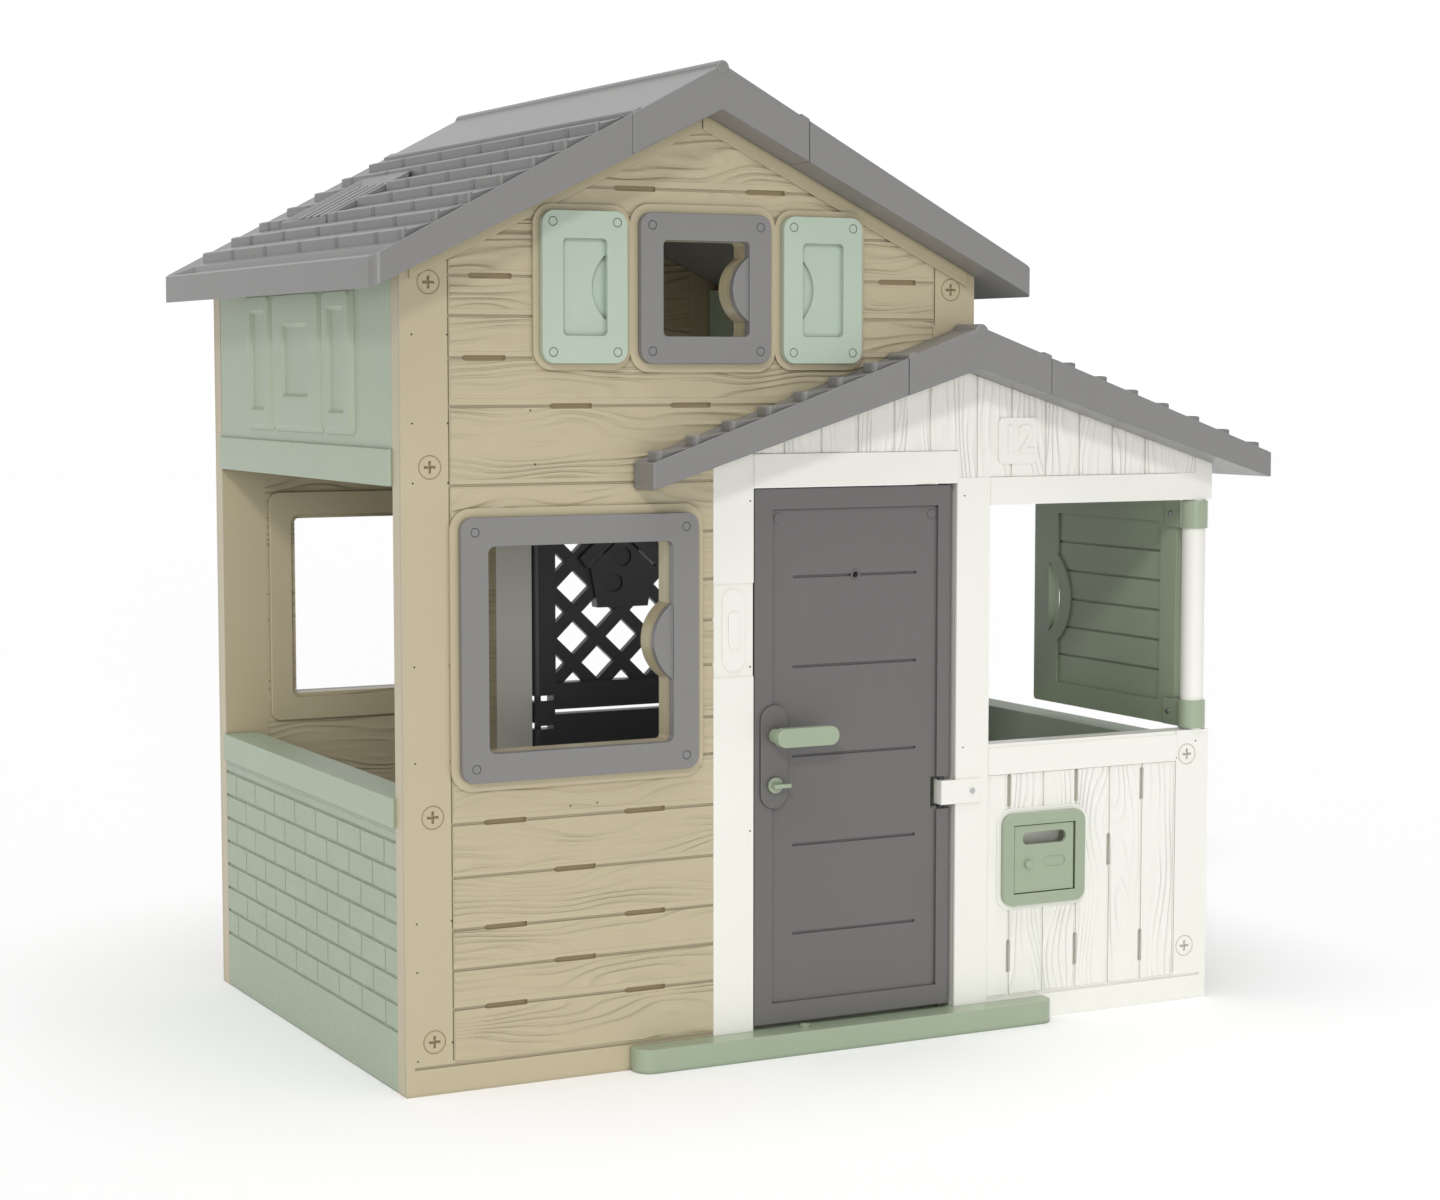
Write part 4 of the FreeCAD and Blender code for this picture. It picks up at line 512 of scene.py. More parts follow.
def beside_joints(tree, z):
    """1 on the boards and 0 on the smooth strip that runs along each joint."""
    masks = []
    for joints in (LOWER_BOARDS[1:], UPPER_BOARDS):
        ramp = add_node(tree, "ShaderNodeValToRGB")
        ramp.color_ramp.interpolation = "CONSTANT"
        tree.links.new(maths(tree, "DIVIDE", z, RAMP_TOP), ramp.inputs[0])
        stops = ramp.color_ramp.elements
        stops.remove(stops[1])
        stops[0].color = (1, 1, 1, 1)
        for level in joints:
            stops.new((level - JOINT_HALF) / 1000 / RAMP_TOP).color = (0, 0, 0, 1)
            stops.new((level + JOINT_HALF) / 1000 / RAMP_TOP).color = (1, 1, 1, 1)
        masks.append(ramp.outputs[0])
    return maths(tree, "MULTIPLY", *masks)


def grain(tree, along, across, offset, mask):
    lines = add_node(tree, "ShaderNodeGroup", node_tree=wood)
    tree.links.new(along, lines.inputs["Along"])
    tree.links.new(across, lines.inputs["Across"])
    tree.links.new(offset, lines.inputs["Offset"])
    raised = maths(tree, "ADD", lines.outputs[0], 0.5)
    return maths(tree, "MULTIPLY", raised, mask)


def board_relief(tree):
    x, y, z = coordinates(tree)
    mask = maths(tree, "MULTIPLY", between(tree, x, WEST + 0.087, WEST + 1.015),
                 between(tree, z, 0.052, 2.0))
    mask = maths(tree, "MULTIPLY", mask, on_wall_face(tree, y))
    mask = maths(tree, "MULTIPLY", mask, beside_joints(tree, z))
    return grain(tree, x, z, board_number(tree, z), mask)


FIRST_PLANK, PLANK_WIDTH = 1.187, 0.0745


def plank_relief(tree):
    x, y, z = coordinates(tree)
    low = maths(tree, "MULTIPLY", between(tree, z, 0.052, 0.464),
                between(tree, x, WEST + 1.141, WEST + 1.560))
    top = maths(tree, "MULTIPLY", between(tree, z, 1.013, 2.0),
                between(tree, x, WEST + 1.071, WEST + 1.6))
    porch = maths(tree, "MULTIPLY", between(tree, z, 1.062, 2.0),
                  between(tree, x, WEST + 0.574, WEST + 1.071))
    mask = maths(tree, "ADD", maths(tree, "ADD", low, top), porch)
    mask = maths(tree, "MULTIPLY", mask, on_wall_face(tree, y))
    along = maths(tree, "SUBTRACT", x, WEST + FIRST_PLANK)
    count = maths(tree, "FLOOR", maths(tree, "DIVIDE", along, PLANK_WIDTH))
    return grain(tree, z, x, maths(tree, "MULTIPLY", count, 7.31), mask)


def brick_relief(tree):
    """Rough clay faces on the side walls, smooth on the band above them."""
    x, y, z = coordinates(tree)
    place = add_node(tree, "ShaderNodeTexCoord").outputs["Object"]
    pits = remap(tree, noise(tree, place, 70, 5, 0.65), 0.38, 0.7)
    swell = noise(tree, place, 18, 2)
    rough = maths(tree, "ADD", maths(tree, "MULTIPLY", pits, 0.7), swell)
    return maths(tree, "MULTIPLY", rough, between(tree, z, 0.01, 0.44))


# %% [markdown]
# The palette: warm tan, milk white, three sages, two greys, a charcoal, bright steel, and
# the painted shade of screw pockets and pits.  Steel is the one finish that is metallic, so
# it is set on its own shader.

# %% The palette
TAN, WHITE, SAGE = linear(190, 178, 148), linear(240, 239, 231), linear(157, 171, 146)
PALE, GREY, DOOR = linear(180, 195, 178), linear(130, 129, 128), linear(105, 103, 102)
DARK, DULL = linear(76, 75, 80), linear(168, 181, 159)
materials = {
    # the slot colours below are painted shade on the floors of the slots; the hollow amounts set
    # painted shade in grooves
    "boards": finish("tan_boards", TAN, 0.3, 0.4, 0.35, board_relief, relief_depth=0.0026,
                     specular=0.6, painted_shade=0.5, slot_shade=linear(146, 128, 88)),
    "tan": finish("tan_smooth", TAN, 0.36, 0.4),
    "planks": finish("white_planks", WHITE, 0.34, 0.4, 0.3, plank_relief,
                     relief_depth=0.0018, edge=0.1, painted_shade=0.14, slot_shade=linear(150, 144, 128)),
    "white": finish("white_smooth", WHITE, 0.34, 0.3, 0.3, edge=0.1, painted_shade=0.4),
    "brick": finish("sage_brick", DULL, 0.42, 0.6, relief=brick_relief, relief_depth=0.0014),
    "fascia": finish("sage_satin", DULL, 0.36, 0.5),
    "shutter": finish("sage_shutter", SAGE, 0.34, 0.5),
    "sage": finish("sage_gloss", SAGE, 0.24, 0.25, coat=0.3),
    "pale": finish("pale_sage", PALE, 0.3, 0.3),
    # the roof's strong edge paling is mostly a painted highlight on the tile lips
    "roof": finish("roof_grey", GREY, 0.3, 0.7, 0.5, edge=0.4),
    "frame": finish("frame_grey", GREY, 0.36, 0.5),
    "door": finish("door_grey", DOOR, 0.42, 1.2, 0.5),
    "plate": finish("plate_grey", DOOR, 0.36, 0.6),
    "dark": finish("charcoal", DARK, 0.36, 0.5),
    # near black: painted shade for the vent pits and round the pins
    "pit_shade": finish("shadow_pit", linear(40, 38, 34), 0.6, 0.2),
    # painted shade for the screw pockets and cross slots, on tan and on white
    "seam": finish("tan_seam", linear(148, 128, 88), 0.6, 0.2),
    "pale_seam": finish("pale_seam", linear(192, 188, 176), 0.6, 0.2),
}
steel = finish("zinc_steel", linear(190, 190, 192), 0.3, 0.3)
steel.node_tree.nodes["Principled BSDF"].inputs["Metallic"].default_value = 1.0
materials["steel"] = steel
print("finishes", sorted(materials))


# %% Dress a piece and give it to its body
def dress(obj, look, body="house"):
    obj.data.materials.clear()
    obj.data.materials.append(materials[look])
    for face in obj.data.polygons:
        face.material_index = 0
    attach(obj, body)
    return obj


# %% [markdown]
# ## The mouldings
# Walls, doors, frames and fittings come from the frame.  Each row below gives the finish,
# the radius of the rounded edges in millimetres, and how finely the rounding is cut.  The
# frames and shutters have wide roundings but small pins, so the pins get a fine one.

# %% Walls, doors and fittings
MOULDINGS = {
    "front_lower_panel": ("boards", 1.4, 2), "rear_lower_panel": ("boards", 1.4, 2),
    "front_upper_panel": ("boards", 1.4, 2), "rear_upper_panel": ("boards", 1.4, 2),
    "front_door_frame": ("planks", 1.4, 2), "rear_door_frame": ("planks", 1.4, 2),
    "annexe_front_panel": ("planks", 1.4, 2), "annexe_rear_panel": ("planks", 1.4, 2),
    "left_low_wall": ("brick", 1.4, 2), "annexe_low_wall": ("brick", 1.4, 2),
    "right_fascia_panel": ("fascia", 2.5, 3),
    "front_window_frame": ("frame", 6, 4), "rear_window_frame": ("frame", 6, 4),
    "gable_window_frame": ("frame", 5, 4),
    "gable_shutter_left": ("pale", 4, 3), "gable_shutter_right": ("pale", 4, 3),
    "tan_screws": ("tan", 1.3, 3), "white_screws": ("white", 1.3, 3),
    "frame_pins": ("frame", 1.0, 2), "gable_shutter_pins": ("pale", 1.0, 2),
    "front_door": ("door", 2.0, 3), "front_door_pins": ("door", 1.0, 2),
    "front_hinge_clip": ("white", 1.5, 3), "rear_hinge_clip": ("dark", 1.5, 3),
    "handle_plate": ("plate", 2.5, 3), "door_handle": ("sage", 7.0, 5),
    "door_key": ("sage", 2.0, 3),
    "rear_lower_door": ("dark", 2.0, 3), "rear_upper_door": ("dark", 2.0, 2),
    "rear_lower_pin": ("dark", 1.0, 2), "rear_upper_pin": ("dark", 1.0, 2),
    "front_threshold": ("sage", 6.0, 4), "rear_threshold": ("sage", 6.0, 4),
    "corner_tube_front": ("white", 1.5, 2), "corner_tube_rear": ("white", 1.5, 2),
    "side_shutter": ("shutter", 2.0, 3),
    "shutter_collar_low": ("sage", 1.2, 2), "shutter_collar_high": ("sage", 1.2, 2),
    "letterbox_frame": ("sage", 4.5, 4), "letterbox_door": ("sage", 1.2, 3),
    "clip_screws": ("steel", 1.0, 3), "collar_screws": ("steel", 1.0, 3),
}
PIN_REACH = 0.0095
PINS = ([spot(x, 0, z) for x in (121, 511) for z in (546, 940)]
        + [spot(x, 0, z) for x in (447.5, 654.5) for z in (1239, 1451)]
        + [spot(x, 0, z) for x in (263.9, 382.1, 719.9, 838.1) for z in (1236.9, 1453.1)])


def by_a_pin(at):
    return any(math.hypot(at.x - pin.x, at.z - pin.z) < PIN_REACH for pin in PINS)


body_of = {node: body for body, members in frame["record"]["behaviour"]["bodies"].items()
           for node in members}
faces = 0
for node, (look, width, cuts) in MOULDINGS.items():
    pinned = "window_frame" in node or "gable_shutter_" in node and width > 3
    piece = moulding(node, width, cuts, by_a_pin if pinned else None)
    dress(piece, look, body_of[node])
    faces += len(piece.data.polygons)
print("mouldings", len(MOULDINGS), "with", faces, "faces")

# %% [markdown]
# ## Blocks
# New pieces start as a cube of the right size at the right place.  `lean` slides the
# corners that pass a test, which turns a box into a wedge that follows a roof.

# %% Block and lean
def block(name, low, high):
    low, high = spot(*low), spot(*high)
    bpy.ops.object.select_all(action="DESELECT")
    bpy.ops.mesh.primitive_cube_add(size=1, location=(low + high) / 2, scale=high - low)
    obj = bpy.context.object
    obj.name = name
    return settle(obj)


def lean(obj, test, move):
    edit(obj)
    choose(obj, "vertices", lambda item, at: test(at))
    bpy.ops.transform.translate(value=Vector(move) / 1000)
    bpy.ops.object.mode_set(mode="OBJECT")


def copy_of(obj, move):
    """A copy with its own mesh, moved by a number of millimetres."""
    twin = obj.copy()
    twin.data = obj.data.copy()
    bpy.context.scene.collection.objects.link(twin)
    pick(twin)
    bpy.ops.transform.translate(value=Vector(move) / 1000)
    return settle(twin)


def join(name, parts):
    pick(parts[0])
    for part in parts[1:]:
        part.select_set(True)
    bpy.ops.object.join()
    bpy.context.object.name = name
    return bpy.context.object


# %% [markdown]
# ## The roof
# Each slope is one big tray: a smooth border for the fascia and, sunk inside it, a field
# that carries the tiles.  The tray is a leaning block whose top is inset and pushed down.
# The two eave corners of a main slope are rounded in plan, as a moulded skirt is, and its
# border is widened along the eave to hold a channel.  The rounding comes after the inset,
# because an inset that is wider than a rounding folds it over.

# %% Roof slopes
def slope_heights(peak, thick, over_fall, under_fall):
    """The heights of the top and the underside of a roof, at a run from its ridge."""
    def over(run):
        return peak - run * over_fall

    def under(run):
        return peak - thick - run * under_fall

    return over, under


MAIN_RIDGE, ANNEXE_RIDGE = 551, 1070
main = slope_heights(1720, 77, 333 / 627, 306 / 627)
annexe = slope_heights(1283, 74, 230 / 650, 204 / 650)
TRAY, LIP, WIDEN = 7, 9, 22
# borders wider than this are rounded at the eave and get a channel
WIDE_BORDER = 20
EAVE_ROUNDING, CHANNEL_LIP, CHANNEL_SIDE, CHANNEL_DEPTH = 0.018, 0.009, 0.005, 0.010
# how near in metres a corner has to be to count as the one that is meant
NEAR, SAME = 0.012, 0.0001


def tray(name, heights, apex, way, near, far, y0, y1, border):
    over, under = heights
    a, b = sorted((apex + near * way, apex + far * way))
    slab = block(name, (a, y0, under(near)), (b, y1, over(near)))
    outer = spot(apex + far * way, 0, 0).x
    middle = (under(near) + over(near)) / 2000
    lean(slab, lambda p: abs(p.x - outer) < 0.001 and p.z > middle,
         (0, 0, over(far) - over(near)))
    lean(slab, lambda p: abs(p.x - outer) < 0.001 and abs(p.z - under(near) / 1000) < 0.001,
         (0, 0, under(far) - under(near)))
    edit(slab, "FACE")
    choose(slab, "polygons", lambda item, at: item.normal.z > 0.5)
    bpy.ops.mesh.inset(thickness=border / 1000)
    bpy.ops.transform.translate(value=(0, 0, -TRAY / 1000))
    bpy.ops.object.mode_set(mode="OBJECT")
    fall = over(0) - over(1)
    top_rim = spot(apex + (near + border) * way, 0, 0).x
    back = border * 0.97
    lean(slab, lambda p: abs(p.x - top_rim) < NEAR and p.z > over(near) / 1000 - 0.06,
         (-back * way, 0, back * fall))
    if border > WIDE_BORDER:
        sides = spot(0, y0, 0).y, spot(0, y1, 0).y
        edit(slab, "EDGE")
        choose(slab, "edges", lambda item, at: abs(at.x - outer) < SAME
               and min(abs(at.y - side) for side in sides) < SAME)
        bpy.ops.mesh.bevel(offset=EAVE_ROUNDING, segments=5, affect="EDGES")
        eave_channel(slab, over, apex, way, far, border, fall)
    return slab


def eave_channel(slab, over, apex, way, far, border, fall):
    """Widen the border along the eave and sink a gutter into it."""
    inner = spot(apex + (far - border) * way, 0, 0).x
    high = over(far - border) / 1000
    lean(slab, lambda p: abs(p.x - inner) < NEAR and abs(p.z - high) < 0.02,
         (-WIDEN * way, 0, WIDEN * fall))
    edit(slab, "FACE")
    choose(slab, "polygons", lambda item, at: item.normal.z > 0.5 and item.area > 0.01
           and abs(at.x - inner) < 0.06 and abs(at.y) < 0.1)
    bpy.ops.mesh.inset(thickness=CHANNEL_LIP)
    bpy.ops.mesh.inset(thickness=CHANNEL_SIDE)
    bpy.ops.transform.translate(value=(0, 0, -CHANNEL_DEPTH))
    bpy.ops.object.mode_set(mode="OBJECT")
    print("eave channel on the", "east" if way > 0 else "west")


# %% [markdown]
# A tile is a thin wedge, flush at its upper end and proud at its lower end, where it has a
# raised lip and soft corners.  One of each length is modelled, then copied in courses that
# each start a third of a tile further on.  The rounding of its edges is less than half the
# height of the lip, so that the roundings above and below it never meet.

# %% Tiles
TILE_FOOT, TILE_ROUNDING, LIP_WIDTH, LIP_HEIGHT = 3, 0.010, 0.013, 0.003


def tile(name, heights, apex, way, r0, r1, y0, y1):
    over = heights[0]
    a, b = sorted((apex + r0 * way, apex + r1 * way))
    top, bottom = over(r0) - TRAY + 1.0, over(r0) - TRAY - TILE_FOOT
    obj = block(name, (a, y0, bottom), (b, y1, top))
    outer = spot(apex + r1 * way, 0, 0).x
    sides = spot(0, y0, 0).y, spot(0, y1, 0).y
    fall = over(r1) - over(r0)
    middle = (top + bottom) / 2000
    lean(obj, lambda p: abs(p.x - outer) < 0.001 and p.z < middle, (0, 0, fall))
    lean(obj, lambda p: abs(p.x - outer) < 0.001 and p.z > middle,
         (0, 0, fall + TRAY + LIP - 1))
    edit(obj, "EDGE")
    choose(obj, "edges", lambda item, at: abs(at.x - outer) < SAME
           and min(abs(at.y - side) for side in sides) < SAME)
    bpy.ops.mesh.bevel(offset=TILE_ROUNDING, segments=4, affect="EDGES")
    bpy.ops.mesh.select_all(action="SELECT")
    cut = outer - LIP_WIDTH * way
    bpy.ops.mesh.bisect(plane_co=(cut, 0, 0), plane_no=(1, 0, 0))
    choose(obj, "polygons", lambda item, at: item.normal.z > 0.5 and (at.x - cut) * way > 0)
    bpy.ops.mesh.extrude_region_move(TRANSFORM_OT_translate={"value": (0, 0, LIP_HEIGHT)})
    bpy.ops.object.mode_set(mode="OBJECT")
    return round_edges(obj, 1.4, 2)


# the roof light takes the place of some tiles: their courses, and where it starts and ends
LIGHT_COURSES, LIGHT_NEAR, LIGHT_FAR = (2, 3, 4), 645, 905
FIRST_JOINT, SHORTEST, GAP, UNDERLAP = 74, 25, 5, 4
COURSES, TILE_LENGTH = 7, 193


def tiled(name, heights, apex, way, near, far, y0, y1, border):
    slab = round_edges(tray(name, heights, apex, way, near, far, y0, y1, border), 3.5, 3)
    over = heights[0]
    start, end = y0 + border + 2, y1 - border - 2
    low_end = far - border - (WIDEN if border > WIDE_BORDER else 0)
    pitch = (low_end - near + UNDERLAP) / COURSES
    r1 = low_end - 1
    r0 = r1 - pitch - UNDERLAP
    rise = over(0) - over(pitch)
    seeds, made = {}, []
    for course in range(COURSES):
        lit = "left" in name and course in LIGHT_COURSES
        first = FIRST_JOINT + TILE_LENGTH / 3 * course
        cuts = [first + TILE_LENGTH * k for k in range(-8, 8)]
        cuts = [start] + [y for y in cuts if start + SHORTEST < y < end - SHORTEST] + [end]
        if lit:
            cuts = [y for y in cuts if not LIGHT_NEAR - SHORTEST < y < LIGHT_FAR + SHORTEST]
            cuts = sorted(cuts + [LIGHT_NEAR, LIGHT_FAR])
        for a, b in zip(cuts, cuts[1:]):
            if lit and a == LIGHT_NEAR:
                continue
            length = round(b - a - GAP, 1)
            if length not in seeds:
                seeds[length] = tile(name + "_tile", heights, apex, way, r0, r1, 0, length)
            made.append(copy_of(seeds[length], (-pitch * course * way, a, rise * course)))
    for seed in seeds.values():
        bpy.data.objects.remove(seed)
    print(name, "tiles", len(made))
    return join(name, [slab] + made)


FORE, REAR, DEEP = -78, 1088, 1010
MAIN_CAP, ANNEXE_CAP = 168, 150
# the part it replaces, its heights, where its ridge is, which way it falls, where it starts
# and ends along the fall and from front to back, and the width of its border
SLOPES = [
    ("main_roof_left", main, MAIN_RIDGE, -1, MAIN_CAP, 627, FORE, REAR, 40),
    ("main_roof_right", main, MAIN_RIDGE, 1, MAIN_CAP, 627, FORE, REAR, 40),
    ("annexe_roof", annexe, ANNEXE_RIDGE, 1, ANNEXE_CAP, 650, FORE, REAR, 13),
    ("porch_roof_front", annexe, ANNEXE_RIDGE, -1, ANNEXE_CAP, 650, FORE, 0, 13),
    ("porch_roof_rear", annexe, ANNEXE_RIDGE, -1, ANNEXE_CAP, 650, DEEP, REAR, 13),
]
for row in SLOPES:
    piece = tiled(row[0] + "_tiled", *row[1:])
    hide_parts(row[0])
    dress(piece, "roof")

# %% [markdown]
# Over each ridge lies a folded cap with a round bead along its top and a raised lip along
# its two lower edges.  The cap is a moulding of the frame; bead and lips are added.

# %% Ridge caps
def ridge(node, heights, apex, half, y0, y1):
    over = heights[0]
    cap = moulding(node, 3.0, 3)
    bpy.ops.object.select_all(action="DESELECT")
    middle = spot(apex, (y0 + y1) / 2, over(0) - 7)
    bpy.ops.mesh.primitive_cylinder_add(vertices=32, radius=0.0125,
                                        depth=(y1 - y0) / 1000 + 0.002, location=middle,
                                        rotation=(math.pi / 2, 0, 0))
    bead = round_edges(settle(bpy.context.object), 4, 4)
    parts = [cap, bead]
    for way in (-1, 1):
        a, b = sorted((apex + (half - 16) * way, apex + (half + 1) * way))
        lip = block("lip", (a, y0 + 1, over(half - 16) - 6), (b, y1 - 1, over(half - 16) + 4))
        outer = spot(apex + (half + 1) * way, 0, 0).x
        lean(lip, lambda p: abs(p.x - outer) < 0.001, (0, 0, over(17) - over(0)))
        parts.append(round_edges(lip, 2.5, 3))
    piece = join(node + "_capped", parts)
    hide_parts(node)
    return dress(piece, "roof")


ridge("main_ridge_cap", main, MAIN_RIDGE, MAIN_CAP, FORE, REAR)
ridge("annexe_ridge_cap_front", annexe, ANNEXE_RIDGE, ANNEXE_CAP, FORE, 0)
ridge("annexe_ridge_cap_rear", annexe, ANNEXE_RIDGE, ANNEXE_CAP, DEEP, REAR)
dress(moulding("annexe_ridge_infill", 2.0, 2), "roof")
print("ridges done")

# %% [markdown]
# On the west slope a blind roof light is moulded among the tiles: a flat rim round a sunk
# pane with raised bars.  It is a leaning block with its top inset and pushed down; the bars
# are leaning blocks too.

# %% Roof light
def sloping(name, r0, r1, y0, y1, low, high):
    """A block on the west slope, between two heights above the slope."""
    over = main[0]
    obj = block(name, (MAIN_RIDGE - r1, y0, over(r0) + low),
                (MAIN_RIDGE - r0, y1, over(r0) + high))
    outer = spot(MAIN_RIDGE - r1, 0, 0).x
    lean(obj, lambda p: abs(p.x - outer) < 0.001, (0, 0, over(r1) - over(r0)))
    return obj


LIGHT_TOP, LIGHT_FOOT = 282, 449
rim = sloping("roof_light", LIGHT_TOP, LIGHT_FOOT, LIGHT_NEAR + 2, LIGHT_FAR - 2, -12, 8)
edit(rim, "FACE")
choose(rim, "polygons", lambda item, at: item.normal.z > 0.5)
bpy.ops.mesh.inset(thickness=0.015)
bpy.ops.transform.translate(value=(0, 0, -0.011))
bpy.ops.object.mode_set(mode="OBJECT")
panes = [round_edges(rim, 2.0, 3)]
for k in range(1, 6):
    middle = LIGHT_NEAR + 2 + k * (LIGHT_FAR - LIGHT_NEAR - 4) / 6
    bar = sloping("bar", LIGHT_TOP + 22, LIGHT_FOOT - 22, middle - 9, middle + 9, -6, 2)
    panes.append(round_edges(bar, 2.0, 3))
dress(join("roof_light", panes), "roof")

# %% [markdown]
# Under each rake the gable carries a smooth raised band, one leaning block a side.  The
# bands are modelled for the front and copied to the back.

# %% Rake bands
under = main[1]
far = MAIN_RIDGE - 16
bands = []
for way in (-1, 1):
    a, b = sorted((MAIN_RIDGE + way, MAIN_RIDGE + far * way))
    band = block("rake_band", (a, -3, under(0) - 27), (b, 1, under(0) + 2))
    outer = spot(MAIN_RIDGE + far * way, 0, 0).x
    lean(band, lambda p: abs(p.x - outer) < 0.001, (0, 0, under(far) - under(0)))
    bands.append(round_edges(band, 1.2, 2))
front_bands = join("rake_bands_front", bands)
rear_bands = copy_of(front_bands, (0, DEEP + 2, 0))
rear_bands.name = "rake_bands_rear"
for piece in (front_bands, rear_bands):
    dress(piece, "tan")
print("rake bands done")

# %% [markdown]
# The west fascia closes the wall under the eave.  It carries a ledge along its foot and a
# blind window between two shutters, all raised with sloping sides.  Each one is a block
# whose face is inset and pulled out, then inset twice more and pushed back in.  Its corners
# are rounded last, for the same reason as the roof's.

# %% West fascia
CORNER_REACH, CORNER_ROUNDING = 0.0068, 0.010


def raised_window(y0, y1, border):
    z0, z1 = 1096, 1352
    panel = block("raised_window", (-1, y0, z0), (8, y1, z1))
    edit(panel, "FACE")
    choose(panel, "polygons", lambda item, at: item.normal.x < -0.9)
    bpy.ops.mesh.inset(thickness=0.011)
    bpy.ops.transform.translate(value=(-0.008, 0, 0))
    bpy.ops.mesh.inset(thickness=border / 1000)
    bpy.ops.mesh.inset(thickness=0.005)
    bpy.ops.transform.translate(value=(0.006, 0, 0))
    low_corner, high_corner = spot(0, y0, z0), spot(0, y1, z1)
    choose(panel, "edges", lambda item, at:
           min(abs(at.y - low_corner.y), abs(at.y - high_corner.y)) < CORNER_REACH
           and min(abs(at.z - low_corner.z), abs(at.z - high_corner.z)) < CORNER_REACH)
    bpy.ops.mesh.bevel(offset=CORNER_ROUNDING, segments=4, affect="EDGES")
    bpy.ops.object.mode_set(mode="OBJECT")
    return round_edges(panel, 1.4, 3)


fascia = [round_edges(block("west_fascia", (0, 40, 1016), (40, 970, 1374)), 3, 3),
          round_edges(block("ledge", (-6, 40.5, 1016), (20, 969.5, 1078)), 3, 3)]
for near, far, border in ((214, 368, 26), (372, 638, 52), (642, 796, 26)):
    fascia.append(raised_window(near, far, border))
fascia = join("west_fascia", fascia)
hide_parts("left_fascia_panel")
dress(fascia, "fascia")
print("west fascia", len(fascia.data.polygons), "faces")

# %% [markdown]
# Inside the rear wall a smooth raised band runs round the window.  A thin block is inset on
# both faces, the two middles are deleted and their rims bridged, which leaves a frame.
# The edges that run from face to face are the corners, and they are rounded last.

# %% Window lining
def picture_frame(name, low, high, width):
    obj = block(name, low, high)
    edit(obj, "FACE")
    choose(obj, "polygons", lambda item, at: abs(item.normal.y) > 0.9)
    bpy.ops.mesh.inset(thickness=width / 1000, use_individual=True)
    bpy.ops.mesh.delete(type="FACE")
    least = spot(low[0] + width - 3, 0, low[2] + width - 3)
    most = spot(high[0] - width + 3, 0, high[2] - width + 3)
    choose(obj, "edges", lambda item, at: least.x < at.x < most.x and least.z < at.z < most.z)
    bpy.ops.mesh.bridge_edge_loops()
    middle = (spot(*low).y + spot(*high).y) / 2
    choose(obj, "edges", lambda item, at: abs(at.y - middle) < SAME)
    bpy.ops.mesh.bevel(offset=0.018, segments=5, affect="EDGES")
    bpy.ops.mesh.select_all(action="SELECT")
    bpy.ops.mesh.normals_make_consistent(inside=False)
    bpy.ops.object.mode_set(mode="OBJECT")
    return round_edges(obj, 1.5, 2)


lining = picture_frame("rear_window_lining", (92, 963, 518), (540, 970.5, 968), 44)
dress(lining, "tan")
print("window lining", len(lining.data.polygons), "faces")

# %% [markdown]
# Each large screw sits in a round pocket, and its cross slot tapers outwards.  The shade
# in the pocket and in the slot is painted: a thin ring of darker colour, which is a torus,
# and four dark arms, each a slim four sided cone laid flat.  One screw's marks are
# modelled, then copied to the others.

# %% Screw marks
def ring_at(name, place, radius, wire, steps=40):
    bpy.ops.object.select_all(action="DESELECT")
    bpy.ops.mesh.primitive_torus_add(major_radius=radius / 1000, minor_radius=wire / 1000,
                                     major_segments=steps, minor_segments=6, location=place,
                                     rotation=(math.pi / 2, 0, 0))
    obj = settle(bpy.context.object)
    obj.name = name
    bpy.ops.object.shade_smooth()
    return obj


POCKET_RADIUS, POCKET_WIRE, CROSS_TURN = 19.3, 0.75, 12


def screw_mark(y):
    marks = [ring_at("screw_mark", spot(0, y, 0), POCKET_RADIUS, POCKET_WIRE)]
    for turn in range(CROSS_TURN, 360, 90):
        angle = math.radians(turn)
        bpy.ops.object.select_all(action="DESELECT")
        bpy.ops.mesh.primitive_cone_add(
            vertices=4, radius1=0.0018, radius2=0.0005, depth=0.0085,
            location=spot(6.5 * math.sin(angle), y, 6.5 * math.cos(angle)),
            rotation=(0, angle, 0))
        arm = settle(bpy.context.object)
        edit(arm)
        bpy.ops.mesh.select_all(action="SELECT")
        bpy.ops.transform.resize(value=(1, 0.35, 1), center_override=spot(0, y, 0))
        bpy.ops.object.mode_set(mode="OBJECT")
        marks.append(arm)
    return join("screw_mark", marks)


# the colours of the painted shade in the pockets and slots, on tan and on white
SCREWS = {"seam": [(50, 90), (50, 468), (50, 1048), (50, 1350), (1052, 1350)],
          "pale_seam": [(1590, 105), (1590, 476)]}
for look, places in SCREWS.items():
    marks = []
    for y in (-0.1, 1010.1):
        seed = screw_mark(y)
        marks += [copy_of(seed, (x, 0, z)) for x, z in places]
        bpy.data.objects.remove(seed)
    dress(join("screw_marks_" + look, marks), look)

# %% [markdown]
# Every pin of the frames and shutters shows a thin shadow where it enters its hole.  A
# ring of the same kind paints that shadow, smaller and finer, on the face of the pin.

# %% Pin rings
PIN_RADIUS, PIN_WIRE = 7.4, 0.45
GABLE_FOOT, WINDOW_HALF = 1.2, 0.12
pin_rings = {"frame": [], "gable_shutter": []}
for pin in PINS:
    beside_window = abs(pin.x - spot(MAIN_RIDGE, 0, 0).x) > WINDOW_HALF
    kind = "gable_shutter" if pin.z > GABLE_FOOT and beside_window else "frame"
    node = kind + "_pins"
    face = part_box(node)[0].y
    place = Vector((pin.x, face - SAME, pin.z))
    pin_rings[kind].append(ring_at("pin_ring", place, PIN_RADIUS, PIN_WIRE, 28))
for kind, rings in pin_rings.items():
    dress(join(kind + "_pin_rings", rings), "pit_shade")
print("pins", {kind: len(rings) for kind, rings in pin_rings.items()})

# %% [markdown]
# Inside the rear doorway a flat cover hides the notches that let the half doors clear their
# hinge clip.  It is a block with a raised rim on a narrow foot.

